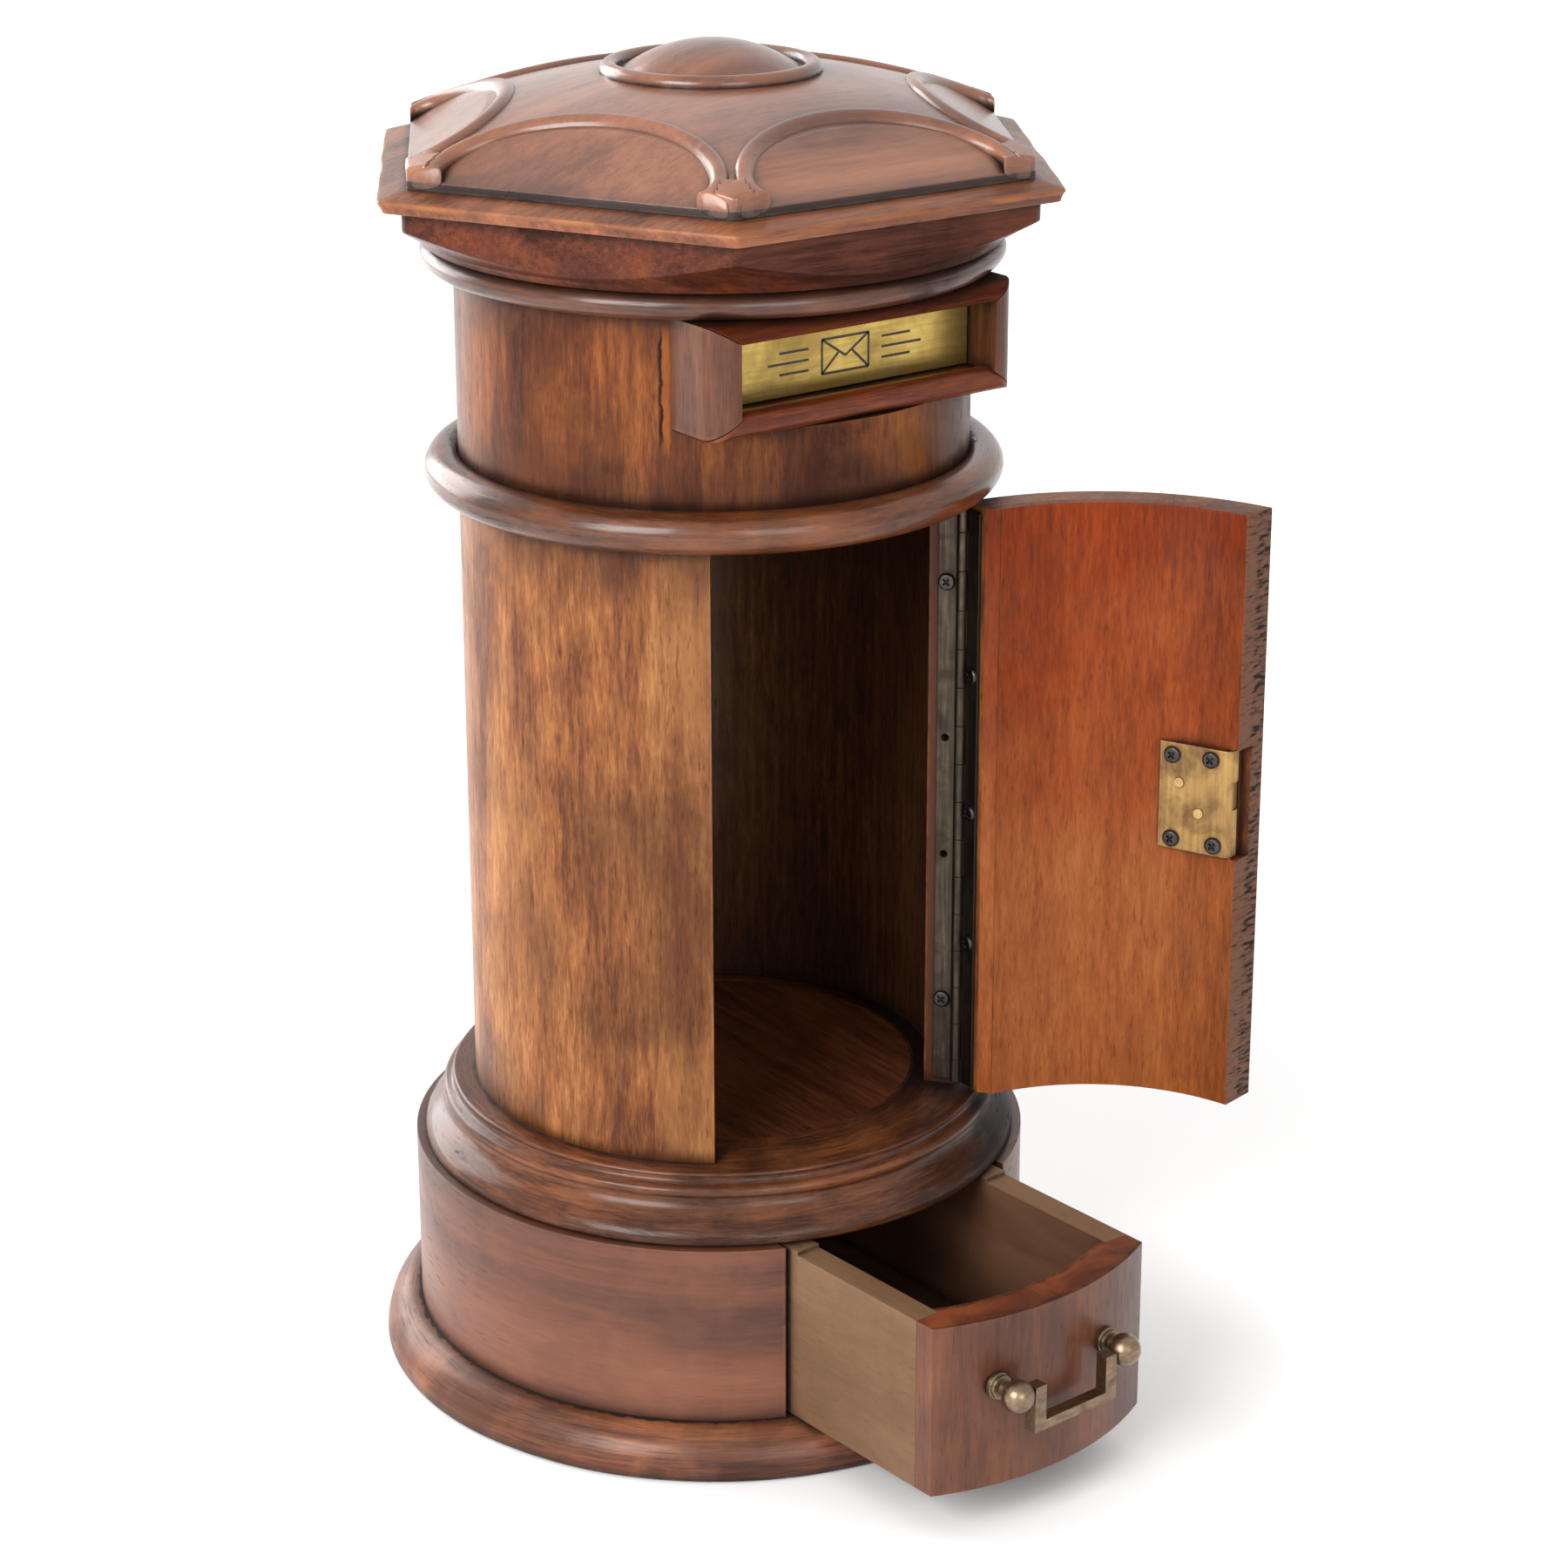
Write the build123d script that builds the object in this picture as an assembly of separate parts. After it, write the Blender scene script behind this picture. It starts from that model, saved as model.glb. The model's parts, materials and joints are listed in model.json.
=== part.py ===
"""Desk letter box: a turned wooden pillar with a hexagonal carved cap, a letter flap, a curved door
with a cupboard lock, and a drawer in the base. Millimetres, +Z up, front towards -Y.

The origin is the centre of the foot, on the table. Everything is written where it is in the rest
pose: door swung open, drawer pulled out, bolt drawn in, drawer bail and letter flap hanging.
Angles called "turn" are measured about +Z from the front (-Y), positive towards +X.
"""

import os
from math import atan, cos, degrees, pi, radians, sin, sqrt

from build123d import *

# ---------------------------------------------------------------- sizes
column_r = 97.0  # outside of the pillar
upper_bore_r = 81.5
lower_bore_r = 84.4
base_turn = 3.4  # the base and its drawer sit turned by this against the door and the letter slot
cap_turn = -2.1  # and the hexagonal cap by this

# heights above the table
drum_bottom_z = 18.8
drum_top_z = 89.8
floor_z = 114.4
ring_bottom_z = 355.0
ring_top_z = 368.6
cornice_bottom_z = 451.0
cornice_top_z = 473.3
board_top_z = 480.6

# foot and base
plinth_r = 135.8
plinth_lip_r = 2.7  # rounding under the widest line of the foot
plinth_seat_r = 121.9  # where the rounding of the foot meets the drum
bottom_board_r = 98.2
drum_r = 121.2
drum_bore_r = 106.2
moulding_top_r = 106.3
moulding_foot_r = 117.7
moulding_fillet = 1.2  # upright edge under the ogee
moulding_ogee = ((114.6, 4.8), (110.6, 8.2), (109.0, 11.6))  # radius, height above the drum
moulding_bead_foot_r = 107.9
moulding_bead_r = 109.7
moulding_bead_top_r = 107.2
moulding_cove_r = 105.5
moulding_bead_drop = 6.7  # middle of the small bead under the top
moulding_bead_half = 2.2
floor_disc_r = 77.0
floor_disc_depth = 3.0
floor_disc_gap = 0.3
glue_gap = 0.05

# rings on the pillar
bead_gap = 0.2  # between the ring's bead and the wall it stands up against
ring_bead_centre_r = 101.85
ring_bead_centre_z = 362.8
ring_bead_half_width = 8.25
ring_bead_half_height = 7.76
neck_bead_centre_r = 102.8
neck_bead_half_width = 6.8
neck_bead_half_height = 5.25

# cornice and cap, sizes of hexagons across opposite corners are twice the corner radius
cornice_foot_r = 108.6
cornice_corner_r = 131.6
cornice_flare = ((111.0, 453.9), (114.2, 456.0), (122.5, 461.0), (132.6, 466.5))  # radius and height
board_corner_r = 141.6
board_arris_z = 477.0
board_under_corner_r = 139.1
crown_corner_r = 129.0
crown_sphere_r = 320.0
crown_rim_r = 41.2  # where the ring of the boss sits on the dome
crown_rim_z = 510.2
lunette_half_width = 52.4
lunette_depth = 32.6
lunette_edge_z = 484.0
lunette_slope = 0.594
arch_width = 7.2
arch_rise = 1.6  # how far the top of the arch bead stands above the dome
boss_bead_r = 37.9
boss_bead_section_r = 3.3
boss_dome_r = 34.6
boss_dome_height = 11.8

# letter slot: frame, opening and flap
slot_half_width = 57.0
slot_bottom_z = 406.8
slot_top_z = 433.5
frame_half_width = 67.9
frame_bottom_z = 399.2
frame_top_z = 440.2
frame_front_y = -97.3
frame_seat_y = -85.5  # flat of the drum that the frame sits on
frame_top_round = 6.4
frame_end_round = 9.6
frame_bead_r = 4.8  # the lower rail is a full bead that stands a little above the slot's floor
flap_axis_y = -78.9
flap_axis_drop = 3.1  # flap axis below the slot's ceiling
flap_clearance = 0.7
flap_thickness = 2.0
flap_barrel_r = 2.6
flap_pin_r = 1.5
flap_pin_grip = 4.0
pin_clearance = 0.05

# door and its hinge
door_bore_r = 81.5
door_bottom_gap = 1.6
door_top_gap = 1.5
door_open_angle = 138.7
opening_turn = -36.5  # free-edge side of the doorway
hinge_turn = 36.5
hinge_r = 97.6
door_free_gap = 1.4
knuckle_r = 2.15
hinge_pin_r = 0.9
leaf_thickness = 1.0
leaf_width = 9.3
leaf_bed = 0.05  # between the leaf and the wood
hinge_bottom_z = 117.0
hinge_length = 233.6
knuckle_pitch = 15.4
knuckle_gap = 0.25
first_knuckle = 8.6
door_edge_chamfer = 4.2
leaf_screw_offset = 6.1  # from the hinge axis
screw_head_r = 3.3
screw_head_height = 1.5
screw_head_round = 0.9
screw_cross_width = 0.8
screw_cross_depth = 0.8
screw_cross_length = 3.4
screw_shank_r = 1.4
screw_depth = 9.0
fixed_screw_z = (150.8, 321.4)
empty_hole_z = (211.3, 258.9)
door_screw_z = (177.3, 230.9, 286.3)
screw_hole_r = 1.5

# cupboard lock
lock_turn = -25.5  # direction the flat lock plate faces
lock_z = 239.6
lock_height = 42.8
lock_inset = 2.3  # from the free edge to the lock's bent flange
lock_far = 32.0  # from the free edge to the plate's other end
lock_plate = 1.3
lock_bend_r = 3.4
lock_body_width = 25.0
lock_body_height = 37.0
lock_body_depth = 5.6
selvedge_width = 6.0
selvedge_lean = 10.0  # the free edge leans by this from the lock's own square
edge_notch_depth = 8.6  # cut across the free edge for the flange
edge_notch_spare = 0.8
lock_seat_gap = 0.1
bolt_z = 242.6
bolt_height = 10.6
bolt_thickness = 2.6
bolt_length = 20.0
bolt_throw = 7.0
bolt_slack = 0.25
bolt_behind_plate = 2.6
strike_slack = 0.7
lock_screw_places = ((11.0, 17.1), (26.8, 16.6), (9.0, -17.2), (26.4, -17.3))  # as for the rivets
lock_screw_depth = 8.0
rivet_r = 2.0
rivet_height = 0.4
rivet_places = ((23.8, 5.8), (15.5, -5.4))  # from the free edge, from lock_z
keyhole_r = 2.6
keyhole_slot = 2.4
keyhole_drop = 8.5
keyhole_in = 17.0

# drawer
drawer_out = 77.6  # how far the drawer is pulled out in the rest pose
drawer_width = 106.0
drawer_bottom_z = 19.6
drawer_top_z = 87.6
drawer_front_thickness = 15.0
drawer_side_thickness = 10.5
drawer_lap = 8.3  # how far the sides are let into the curved front
drawer_back_y = 86.0  # outer face of the drawer's back when shut
drawer_back_drop = 8.0
drawer_step_height = 1.4
drawer_step_y = -34.0  # front of the raised rear part of the sides, drawer shut
drawer_floor_thickness = 5.0
drawer_floor_lift = 4.0
drawer_floor_housing = 4.0
housing_opening_half_width = 55.4
guide_width = 8.0
guide_height = 14.0
guide_clearance = 0.6
guide_half_length = 72.0

# drawer bail
pull_x = -2.2  # the pull sits a little to the left of the drawer's middle
post_spacing = 54.0
post_z = 60.8
post_ball_r = 6.1
post_ball_out = 10.4  # centre of the ball in front of the wood
post_ring_r = 5.1
post_neck_r = 2.6
post_bolt_r = 2.0
post_bolt_length = 9.0
bail_pin_r = 1.0
bail_pin_grip = 3.0
bail_leg = 5.4
bail_depth = 5.2
bail_top = 1.8  # flat tops of the legs above the pivot
bail_bar = 3.9
bail_drop = 16.6
bail_side_gap = 0.4


# ---------------------------------------------------------------- helpers
def polar(r, turn, z=0.0):
    """Point at radius r and turn from the front."""
    return Vector(r * sin(radians(turn)), -r * cos(radians(turn)), z)


def tube(outer_r, inner_r, z0, z1):
    """Upright tube."""
    height = z1 - z0
    middle = (z0 + z1) / 2
    body = Pos(0, 0, middle) * Cylinder(outer_r, height)
    return body - Pos(0, 0, middle) * Cylinder(inner_r, height + 2)


def turned(face):
    """Solid of revolution about Z of a face drawn in the XZ plane."""
    return revolve(face, Axis.Z, 360)


def outline(*pieces):
    """Face from edges that join end to end."""
    return make_face(Wire(list(pieces)))


def ellipse_bead(centre_r, centre_z, half_width, half_height):
    """Turned bead of elliptical section."""
    section = Ellipse(half_width, half_height)
    return turned(Pos(centre_r, 0, centre_z) * Rot(90, 0, 0) * section)


def hexagon(corner_r, z0, z1):
    """Upright hexagonal prism with a flat towards the front."""
    return Pos(0, 0, z0) * extrude(RegularPolygon(corner_r, 6), z1 - z0)


def turn_cap(shape):
    """Turn a piece of the cap on the pillar."""
    return Rot(0, 0, cap_turn) * shape


def turn_base(shape):
    """Turn a piece of the base under the pillar."""
    return Rot(0, 0, base_turn) * shape


def frame_at(turn, r=0.0, z=0.0):
    """Place at turn and radius: local -Y points outwards from the axis, local X towards a larger turn."""
    spot = polar(r, turn, z)
    return Pos(spot.X, spot.Y, spot.Z) * Rot(0, 0, turn)


# ---------------------------------------------------------------- base
def plinth():
    """Ring under the drum, rounded from the drum out to its widest line."""
    widest_z = plinth_lip_r
    rise = drum_bottom_z - widest_z
    reach = plinth_r - plinth_seat_r
    shoulder = EllipticalCenterArc((0, 0), reach, rise, start_angle=0, arc_size=90).edge()
    shoulder = Pos(plinth_seat_r, 0, widest_z) * Rot(90, 0, 0) * shoulder
    lip = CenterArc((0, 0), plinth_lip_r, -90, 90).edge()
    lip = Pos(plinth_r - plinth_lip_r, 0, plinth_lip_r) * Rot(90, 0, 0) * lip
    inner = bottom_board_r + glue_gap
    face = outline(
        lip,
        shoulder,
        Line((plinth_seat_r, 0, drum_bottom_z), (inner, 0, drum_bottom_z)).edge(),
        Line((inner, 0, drum_bottom_z), (inner, 0, 0)).edge(),
        Line((inner, 0, 0), (plinth_r - plinth_lip_r, 0, 0)).edge(),
    )
    return turned(face)


def bottom_board():
    """Disc that closes the foot and carries the drawer."""
    return Pos(0, 0, drum_bottom_z / 2) * Cylinder(bottom_board_r, drum_bottom_z)


def drawer_housing():
    """Drum of the base, cut away at the front for the drawer."""
    body = tube(drum_r, drum_bore_r, drum_bottom_z, drum_top_z)
    height = drum_top_z - drum_bottom_z
    gap = Pos(0, -drum_r, (drum_top_z + drum_bottom_z) / 2) * Box(
        2 * housing_opening_half_width, drum_r, height + 2
    )
    return turn_base(body - gap)


def drawer_guide(side):
    """Strip beside the drawer on the bottom board."""
    x = side * (drawer_width / 2 + guide_clearance + guide_width / 2)
    strip = Pos(x, 0, drum_bottom_z + guide_height / 2) * Box(
        guide_width, 2 * guide_half_length, guide_height
    )
    return turn_base(strip)


def base_moulding():
    """Moulded board between the drum and the pillar, with a shallow recess for the floor disc."""
    foot = drum_top_z + moulding_fillet
    bead_z = floor_z - moulding_bead_drop
    bead_foot = (moulding_bead_foot_r, 0, bead_z - moulding_bead_half)
    bead_top = (moulding_bead_top_r, 0, bead_z + moulding_bead_half)
    edge_foot = (moulding_top_r - 0.3, 0, floor_z - 1.6)
    edge_top = (moulding_top_r - 0.7, 0, floor_z)
    ogee = [(moulding_foot_r, 0, foot)]
    for r, rise in moulding_ogee:
        ogee.append((r, 0, drum_top_z + rise))
    ogee.append(bead_foot)
    profile = outline(
        Line((0, 0, drum_top_z), (moulding_foot_r, 0, drum_top_z)).edge(),
        Line((moulding_foot_r, 0, drum_top_z), (moulding_foot_r, 0, foot)).edge(),
        Spline(ogee).edge(),
        ThreePointArc(bead_foot, (moulding_bead_r, 0, bead_z), bead_top).edge(),
        ThreePointArc(bead_top, (moulding_cove_r, 0, bead_z + 1.5 * moulding_bead_half), edge_foot).edge(),
        ThreePointArc(edge_foot, (moulding_top_r, 0, floor_z - 0.7), edge_top).edge(),
        Line(edge_top, (0, 0, floor_z)).edge(),
        Line((0, 0, floor_z), (0, 0, drum_top_z)).edge(),
    )
    recess = Pos(0, 0, floor_z) * Cylinder(floor_disc_r + floor_disc_gap, 2 * floor_disc_depth)
    return turned(profile) - recess


def floor_disc():
    """Disc let into the compartment's floor."""
    height = floor_disc_depth - 0.25
    return Pos(0, 0, floor_z - floor_disc_depth + height / 2) * Cylinder(floor_disc_r, height)


# ---------------------------------------------------------------- pillar
def doorway():
    """Wedge of the lower shell that the door fills, between the two jamb planes."""
    height = ring_bottom_z - floor_z
    middle = (ring_bottom_z + floor_z) / 2
    wood_gap = knuckle_r + leaf_bed
    hinge_side = frame_at(hinge_turn, 0, middle) * Pos(-200 + wood_gap, -100, 0) * Box(400, 200, height)
    free_side = frame_at(opening_turn, 0, middle) * Pos(200, -100, 0) * Box(400, 200, height)
    return hinge_side & free_side


def lower_shell():
    """Wall of the compartment with the doorway, screw holes and the mortise for the bolt."""
    body = tube(column_r, lower_bore_r, floor_z, ring_bottom_z) - doorway()
    for z in fixed_screw_z + empty_hole_z:
        body -= leaf_hole(z, 1)
    slack = strike_slack
    mortise = bolt_box(bolt_throw + 1.5, slack)
    return body - mortise


def mid_ring():
    """Turned ring between the two shells, with its bead standing up a little against the upper one."""
    wall = Pos((column_r + lower_bore_r) / 2, (ring_top_z + ring_bottom_z) / 2) * Rectangle(
        column_r - lower_bore_r, ring_top_z - ring_bottom_z
    )
    room = 20.0
    upper_wall = Pos(column_r + bead_gap - room / 2, ring_top_z + room / 2) * Rectangle(room, room)
    bore = Pos(column_r - 1 - room / 2, ring_bead_centre_z) * Rectangle(room, 2 * room)
    bead = Pos(ring_bead_centre_r, ring_bead_centre_z) * Ellipse(ring_bead_half_width, ring_bead_half_height)
    return turned(Rot(90, 0, 0) * (wall + (bead - upper_wall - bore)))


def slot_block(grow=0.0, y0=-130.0, y1=-20.0):
    """Box of the letter slot, run through the wall."""
    height = slot_top_z - slot_bottom_z + 2 * grow
    middle = (slot_top_z + slot_bottom_z) / 2
    return Pos(0, (y0 + y1) / 2, middle) * Box(2 * (slot_half_width + grow), y1 - y0, height)


def upper_drum():
    """Upper wall of the pillar with the letter slot cut through it."""
    body = tube(column_r, upper_bore_r, ring_top_z, cornice_bottom_z) - slot_block()
    height = frame_top_z - frame_bottom_z + 2 * glue_gap
    middle = (frame_top_z + frame_bottom_z) / 2
    seat = Pos(0, frame_seat_y - 25, middle) * Box(2 * frame_half_width, 50, height)
    return body - seat - flap_pin_bore()


def neck_ring():
    """Bead under the cornice."""
    z = cornice_bottom_z - neck_bead_half_height - glue_gap
    bead = ellipse_bead(neck_bead_centre_r, z, neck_bead_half_width, neck_bead_half_height)
    return bead - Pos(0, 0, z) * Cylinder(column_r + glue_gap, 4 * neck_bead_half_height)


# ---------------------------------------------------------------- cornice and cap
def cornice():
    """Turned flare cut to a hexagon."""
    outer_r, outer_z = cornice_flare[-1]
    flare = [(cornice_foot_r, 0, cornice_bottom_z)]
    for r, z in cornice_flare:
        flare.append((r, 0, z))
    profile = outline(
        Line((0, 0, cornice_bottom_z), (cornice_foot_r, 0, cornice_bottom_z)).edge(),
        Spline(flare).edge(),
        Line((outer_r, 0, outer_z), (outer_r, 0, cornice_top_z)).edge(),
        Line((outer_r, 0, cornice_top_z), (0, 0, cornice_top_z)).edge(),
        Line((0, 0, cornice_top_z), (0, 0, cornice_bottom_z)).edge(),
    )
    prism = hexagon(cornice_corner_r, cornice_bottom_z - 1, cornice_top_z + 1)
    return turn_cap(turned(profile) & prism)


def hex_taper(low_r, low_z, high_r, high_z):
    """Hexagonal frustum."""
    low = Pos(0, 0, low_z) * RegularPolygon(low_r, 6)
    high = Pos(0, 0, high_z) * RegularPolygon(high_r, 6)
    return loft(Sketch() + [low, high])


def cap_board():
    """Hexagonal board, bevelled above and below its sharpest line."""
    under = hex_taper(board_under_corner_r, cornice_top_z, board_corner_r, board_arris_z)
    above = hex_taper(board_corner_r, board_arris_z, crown_corner_r + 1.5, board_top_z)
    return turn_cap(under + above)


def dome_centre_z():
    """Height of the centre of the dome's sphere."""
    return crown_rim_z - sqrt(crown_sphere_r**2 - crown_rim_r**2)


def dome_z(r):
    """Height of the dome at radius r."""
    return dome_centre_z() + sqrt(crown_sphere_r**2 - r**2)


def lunette_cut():
    """Half-elliptical sinking over the front flat, with a plane sloping floor."""
    apothem = crown_corner_r * cos(pi / 6)
    half = Ellipse(lunette_half_width, lunette_depth)
    plan = Pos(0, -apothem, 0) * half
    column = Pos(0, 0, lunette_edge_z - 5) * extrude(plan, 60)
    tilt = degrees(atan(lunette_slope))
    above = Pos(0, -apothem, lunette_edge_z) * Rot(tilt, 0, 0) * Pos(0, 0, 50) * Box(300, 200, 100)
    return column & above


def arch_bead():
    """Round bead along the edge of the front lunette, lying on the dome."""
    apothem = crown_corner_r * cos(pi / 6)
    half_width = lunette_half_width + arch_width / 2
    depth = lunette_depth + arch_width / 2
    points = []
    steps = 12
    for i in range(steps + 1):
        angle = pi * i / steps
        x = half_width * cos(angle)
        y = -apothem + depth * sin(angle)
        points.append((x, y, dome_z(sqrt(x * x + y * y)) + arch_rise - arch_width / 2))
    first = (points[0][0], -apothem - 4, points[0][2] - 2.5)
    last = (points[-1][0], -apothem - 4, points[-1][2] - 2.5)
    path = Spline([first] + points + [last])
    section = Plane(origin=path @ 0, z_dir=path % 0) * Circle(arch_width / 2)
    return sweep(section, path=path)


def cap_crown():
    """Domed hexagonal block carved with six lunettes and their arch beads."""
    prism = hexagon(crown_corner_r, board_top_z, board_top_z + 60)
    dome = Pos(0, 0, dome_centre_z()) * Sphere(crown_sphere_r)
    cut = lunette_cut()
    bead = arch_bead()
    body = prism & dome
    for i in range(6):
        body -= Rot(0, 0, 60 * i) * cut
    for i in range(6):
        body += (Rot(0, 0, 60 * i) * bead) & prism
    seat = Pos(0, 0, crown_rim_z + 20) * Cylinder(boss_bead_r, 40)
    return turn_cap(body - seat)


def cap_boss():
    """Turned boss on the dome: a ring bead, a groove and a low dome."""
    base_z = crown_rim_z + glue_gap
    bead_z = crown_rim_z + 1.6
    ball_r = (boss_dome_r**2 + boss_dome_height**2) / (2 * boss_dome_height)
    cap = Pos(0, 0, base_z + boss_dome_height - ball_r) * Sphere(ball_r)
    keep = Pos(0, 0, base_z + 20) * Cylinder(boss_dome_r, 40)
    foot = Pos(0, 0, base_z + 0.6) * Cylinder(boss_bead_r - glue_gap, 1.2)
    bead = Pos(0, 0, bead_z) * Torus(boss_bead_r, boss_bead_section_r)
    below = Pos(0, 0, dome_centre_z()) * Sphere(crown_sphere_r + glue_gap)
    under_seat = Pos(0, 0, crown_rim_z - 20 + glue_gap) * Cylinder(boss_bead_r, 40)
    return (cap & keep) + foot + (bead - below - under_seat)


# ---------------------------------------------------------------- letter slot
def frame_ends():
    """Upright block of the frame's plan, its two front corners rounded over nearly a cheek's width."""
    depth = 60.0
    height = frame_top_z - frame_bottom_z
    block = Pos(0, frame_front_y + depth / 2, (frame_top_z + frame_bottom_z) / 2) * Box(
        2 * frame_half_width, depth, height
    )
    return fillet(block.edges().filter_by(Axis.Z).group_by(Axis.Y)[0], frame_end_round)


def frame_bead(half_length):
    """Round bead of the lower rail, along X."""
    spot = Pos(0, frame_front_y + frame_bead_r, frame_bottom_z + frame_bead_r)
    return spot * Rot(0, 90, 0) * Cylinder(frame_bead_r, 2 * half_length)


def slot_frame():
    """Frame round the slot, before it is mitred and given its lip. Its back is fitted to the drum."""
    depth = 60.0
    width = 2 * frame_half_width
    low = frame_bottom_z + frame_bead_r
    block = Pos(0, frame_front_y + depth / 2, (frame_top_z + low) / 2) * Box(
        width, depth, frame_top_z - low
    )
    front = block.edges().filter_by(Axis.X).group_by(Axis.Y)[0].sort_by(Axis.Z)
    block = fillet(front[-1], frame_top_round)
    rail_depth = depth - frame_bead_r
    rail = Pos(0, frame_front_y + frame_bead_r + rail_depth / 2, frame_bottom_z + frame_bead_r / 2) * Box(
        width, rail_depth, frame_bead_r
    )
    block = (block + rail + frame_bead(frame_half_width)) & frame_ends()
    before_seat = Pos(0, frame_seat_y - glue_gap - 100, 400) * Box(300, 200, 200)
    drum = Pos(0, 0, 400) * Cylinder(column_r + glue_gap, 200)
    return block - slot_block() - (drum - before_seat)


def frame_lip():
    """The part of the lower rail's bead that stands above the slot's floor."""
    over = Pos(0, frame_front_y, slot_bottom_z - 0.5 + frame_bead_r) * Box(
        4 * slot_half_width, 4 * frame_bead_r, 2 * frame_bead_r
    )
    return frame_bead(slot_half_width - glue_gap) & over


def mitre_wedge(corner_a, corner_b, reach):
    """Block in the XZ plane fanning out from the two inner corners of the slot through the outer ones."""
    points = [corner_a[0], corner_a[1], corner_b[1], corner_b[0]]
    face = make_face(Polyline([(x, -200, z) for x, z in points], close=True))
    return extrude(face, amount=reach, dir=(0, 1, 0))


def frame_piece(which):
    """One mitred member of the slot frame."""
    inner_x = slot_half_width
    outer_x = frame_half_width
    inner_top = slot_top_z
    inner_low = slot_bottom_z
    fan = 3.0
    top = inner_top + (frame_top_z - inner_top) * fan
    low = inner_low - (inner_low - frame_bottom_z) * fan
    side = inner_x + (outer_x - inner_x) * fan
    joint = 0.03
    if which == "top":
        wedge = mitre_wedge(
            ((-inner_x, inner_top + joint), (-side, top + joint)),
            ((inner_x, inner_top + joint), (side, top + joint)),
            200,
        )
    elif which == "bottom":
        wedge = mitre_wedge(
            ((-inner_x, inner_low - joint), (-side, low - joint)),
            ((inner_x, inner_low - joint), (side, low - joint)),
            200,
        )
    else:
        sign = 1 if which == "right" else -1
        wedge = mitre_wedge(
            ((sign * inner_x, inner_low), (sign * side, low)),
            ((sign * inner_x, inner_top), (sign * side, top)),
            200,
        )
    piece = slot_frame() & wedge
    if which == "bottom":
        piece += frame_lip()
    if which in ("left", "right"):
        piece -= flap_pin_bore()
    return piece


def flap_axis_z():
    """Height of the flap's pin."""
    return slot_top_z - flap_axis_drop


def flap_pin_bore():
    """Holes for the flap's pin in the two cheeks."""
    length = 2 * (slot_half_width + flap_pin_grip + 0.2)
    return Pos(0, flap_axis_y, flap_axis_z()) * Rot(0, 90, 0) * Cylinder(flap_pin_r + 0.02, length)


def flap_pin():
    """Pin the letter flap hangs on."""
    length = 2 * (slot_half_width + flap_pin_grip)
    return Pos(0, flap_axis_y, flap_axis_z()) * Rot(0, 90, 0) * Cylinder(flap_pin_r, length)


def letter_flap():
    """Flap plate with its upper edge rolled round the pin."""
    width = 2 * (slot_half_width - flap_clearance)
    top = flap_axis_z()
    low = slot_bottom_z + flap_clearance
    plate_y = flap_axis_y - flap_barrel_r + flap_thickness / 2
    plate = Pos(0, plate_y, (top + low) / 2) * Box(width, flap_thickness, top - low)
    barrel = Pos(0, flap_axis_y, top) * Rot(0, 90, 0) * Cylinder(flap_barrel_r, width)
    bore = Pos(0, flap_axis_y, top) * Rot(0, 90, 0) * Cylinder(flap_pin_r + pin_clearance, width + 2)
    return plate + barrel - bore


# ---------------------------------------------------------------- door
def hinge_point():
    """Door hinge axis, in plan."""
    return polar(hinge_r, hinge_turn)


def swing_open(shape):
    """Turn a piece of the door from shut to the rest pose."""
    spot = hinge_point()
    return shape.rotate(Axis((spot.X, spot.Y, 0), (0, 0, 1)), door_open_angle)


def at_hinge(z=0.0):
    """Place on the hinge axis: local -Y points outwards, local +X into the fixed jamb."""
    return frame_at(hinge_turn, hinge_r, z)


def leaf_hole(z, side):
    """Screw hole through a leaf's line into the wood; side is 1 for the jamb, -1 for the door."""
    length = screw_depth + 6
    return (
        at_hinge(z)
        * Pos(side * (knuckle_r - leaf_thickness + length / 2 - 1), leaf_screw_offset, 0)
        * Rot(0, 90, 0)
        * Cylinder(screw_hole_r, length)
    )


def leaf_screws(levels, side):
    """Pan-head screws through one leaf."""
    screws = []
    for z in levels:
        start = knuckle_r - leaf_thickness - 0.05
        head = Pos(side * (start - screw_head_height / 2), leaf_screw_offset, 0) * Rot(0, 90, 0) * Cylinder(
            screw_head_r, screw_head_height
        )
        rim = head.edges().filter_by(GeomType.CIRCLE).sort_by(Axis.X)
        head = fillet(rim[0] if side > 0 else rim[-1], screw_head_round)
        cross = Pos(side * (start - screw_head_height), leaf_screw_offset, 0)
        for tilt in (45, -45):
            head -= cross * Rot(tilt, 0, 0) * Box(2 * screw_cross_depth, screw_cross_width, screw_cross_length)
        shank = Pos(side * (start + screw_depth / 2), leaf_screw_offset, 0) * Rot(0, 90, 0) * Cylinder(
            screw_shank_r, screw_depth
        )
        screws.append(at_hinge(z) * (head + shank))
    return screws


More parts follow.
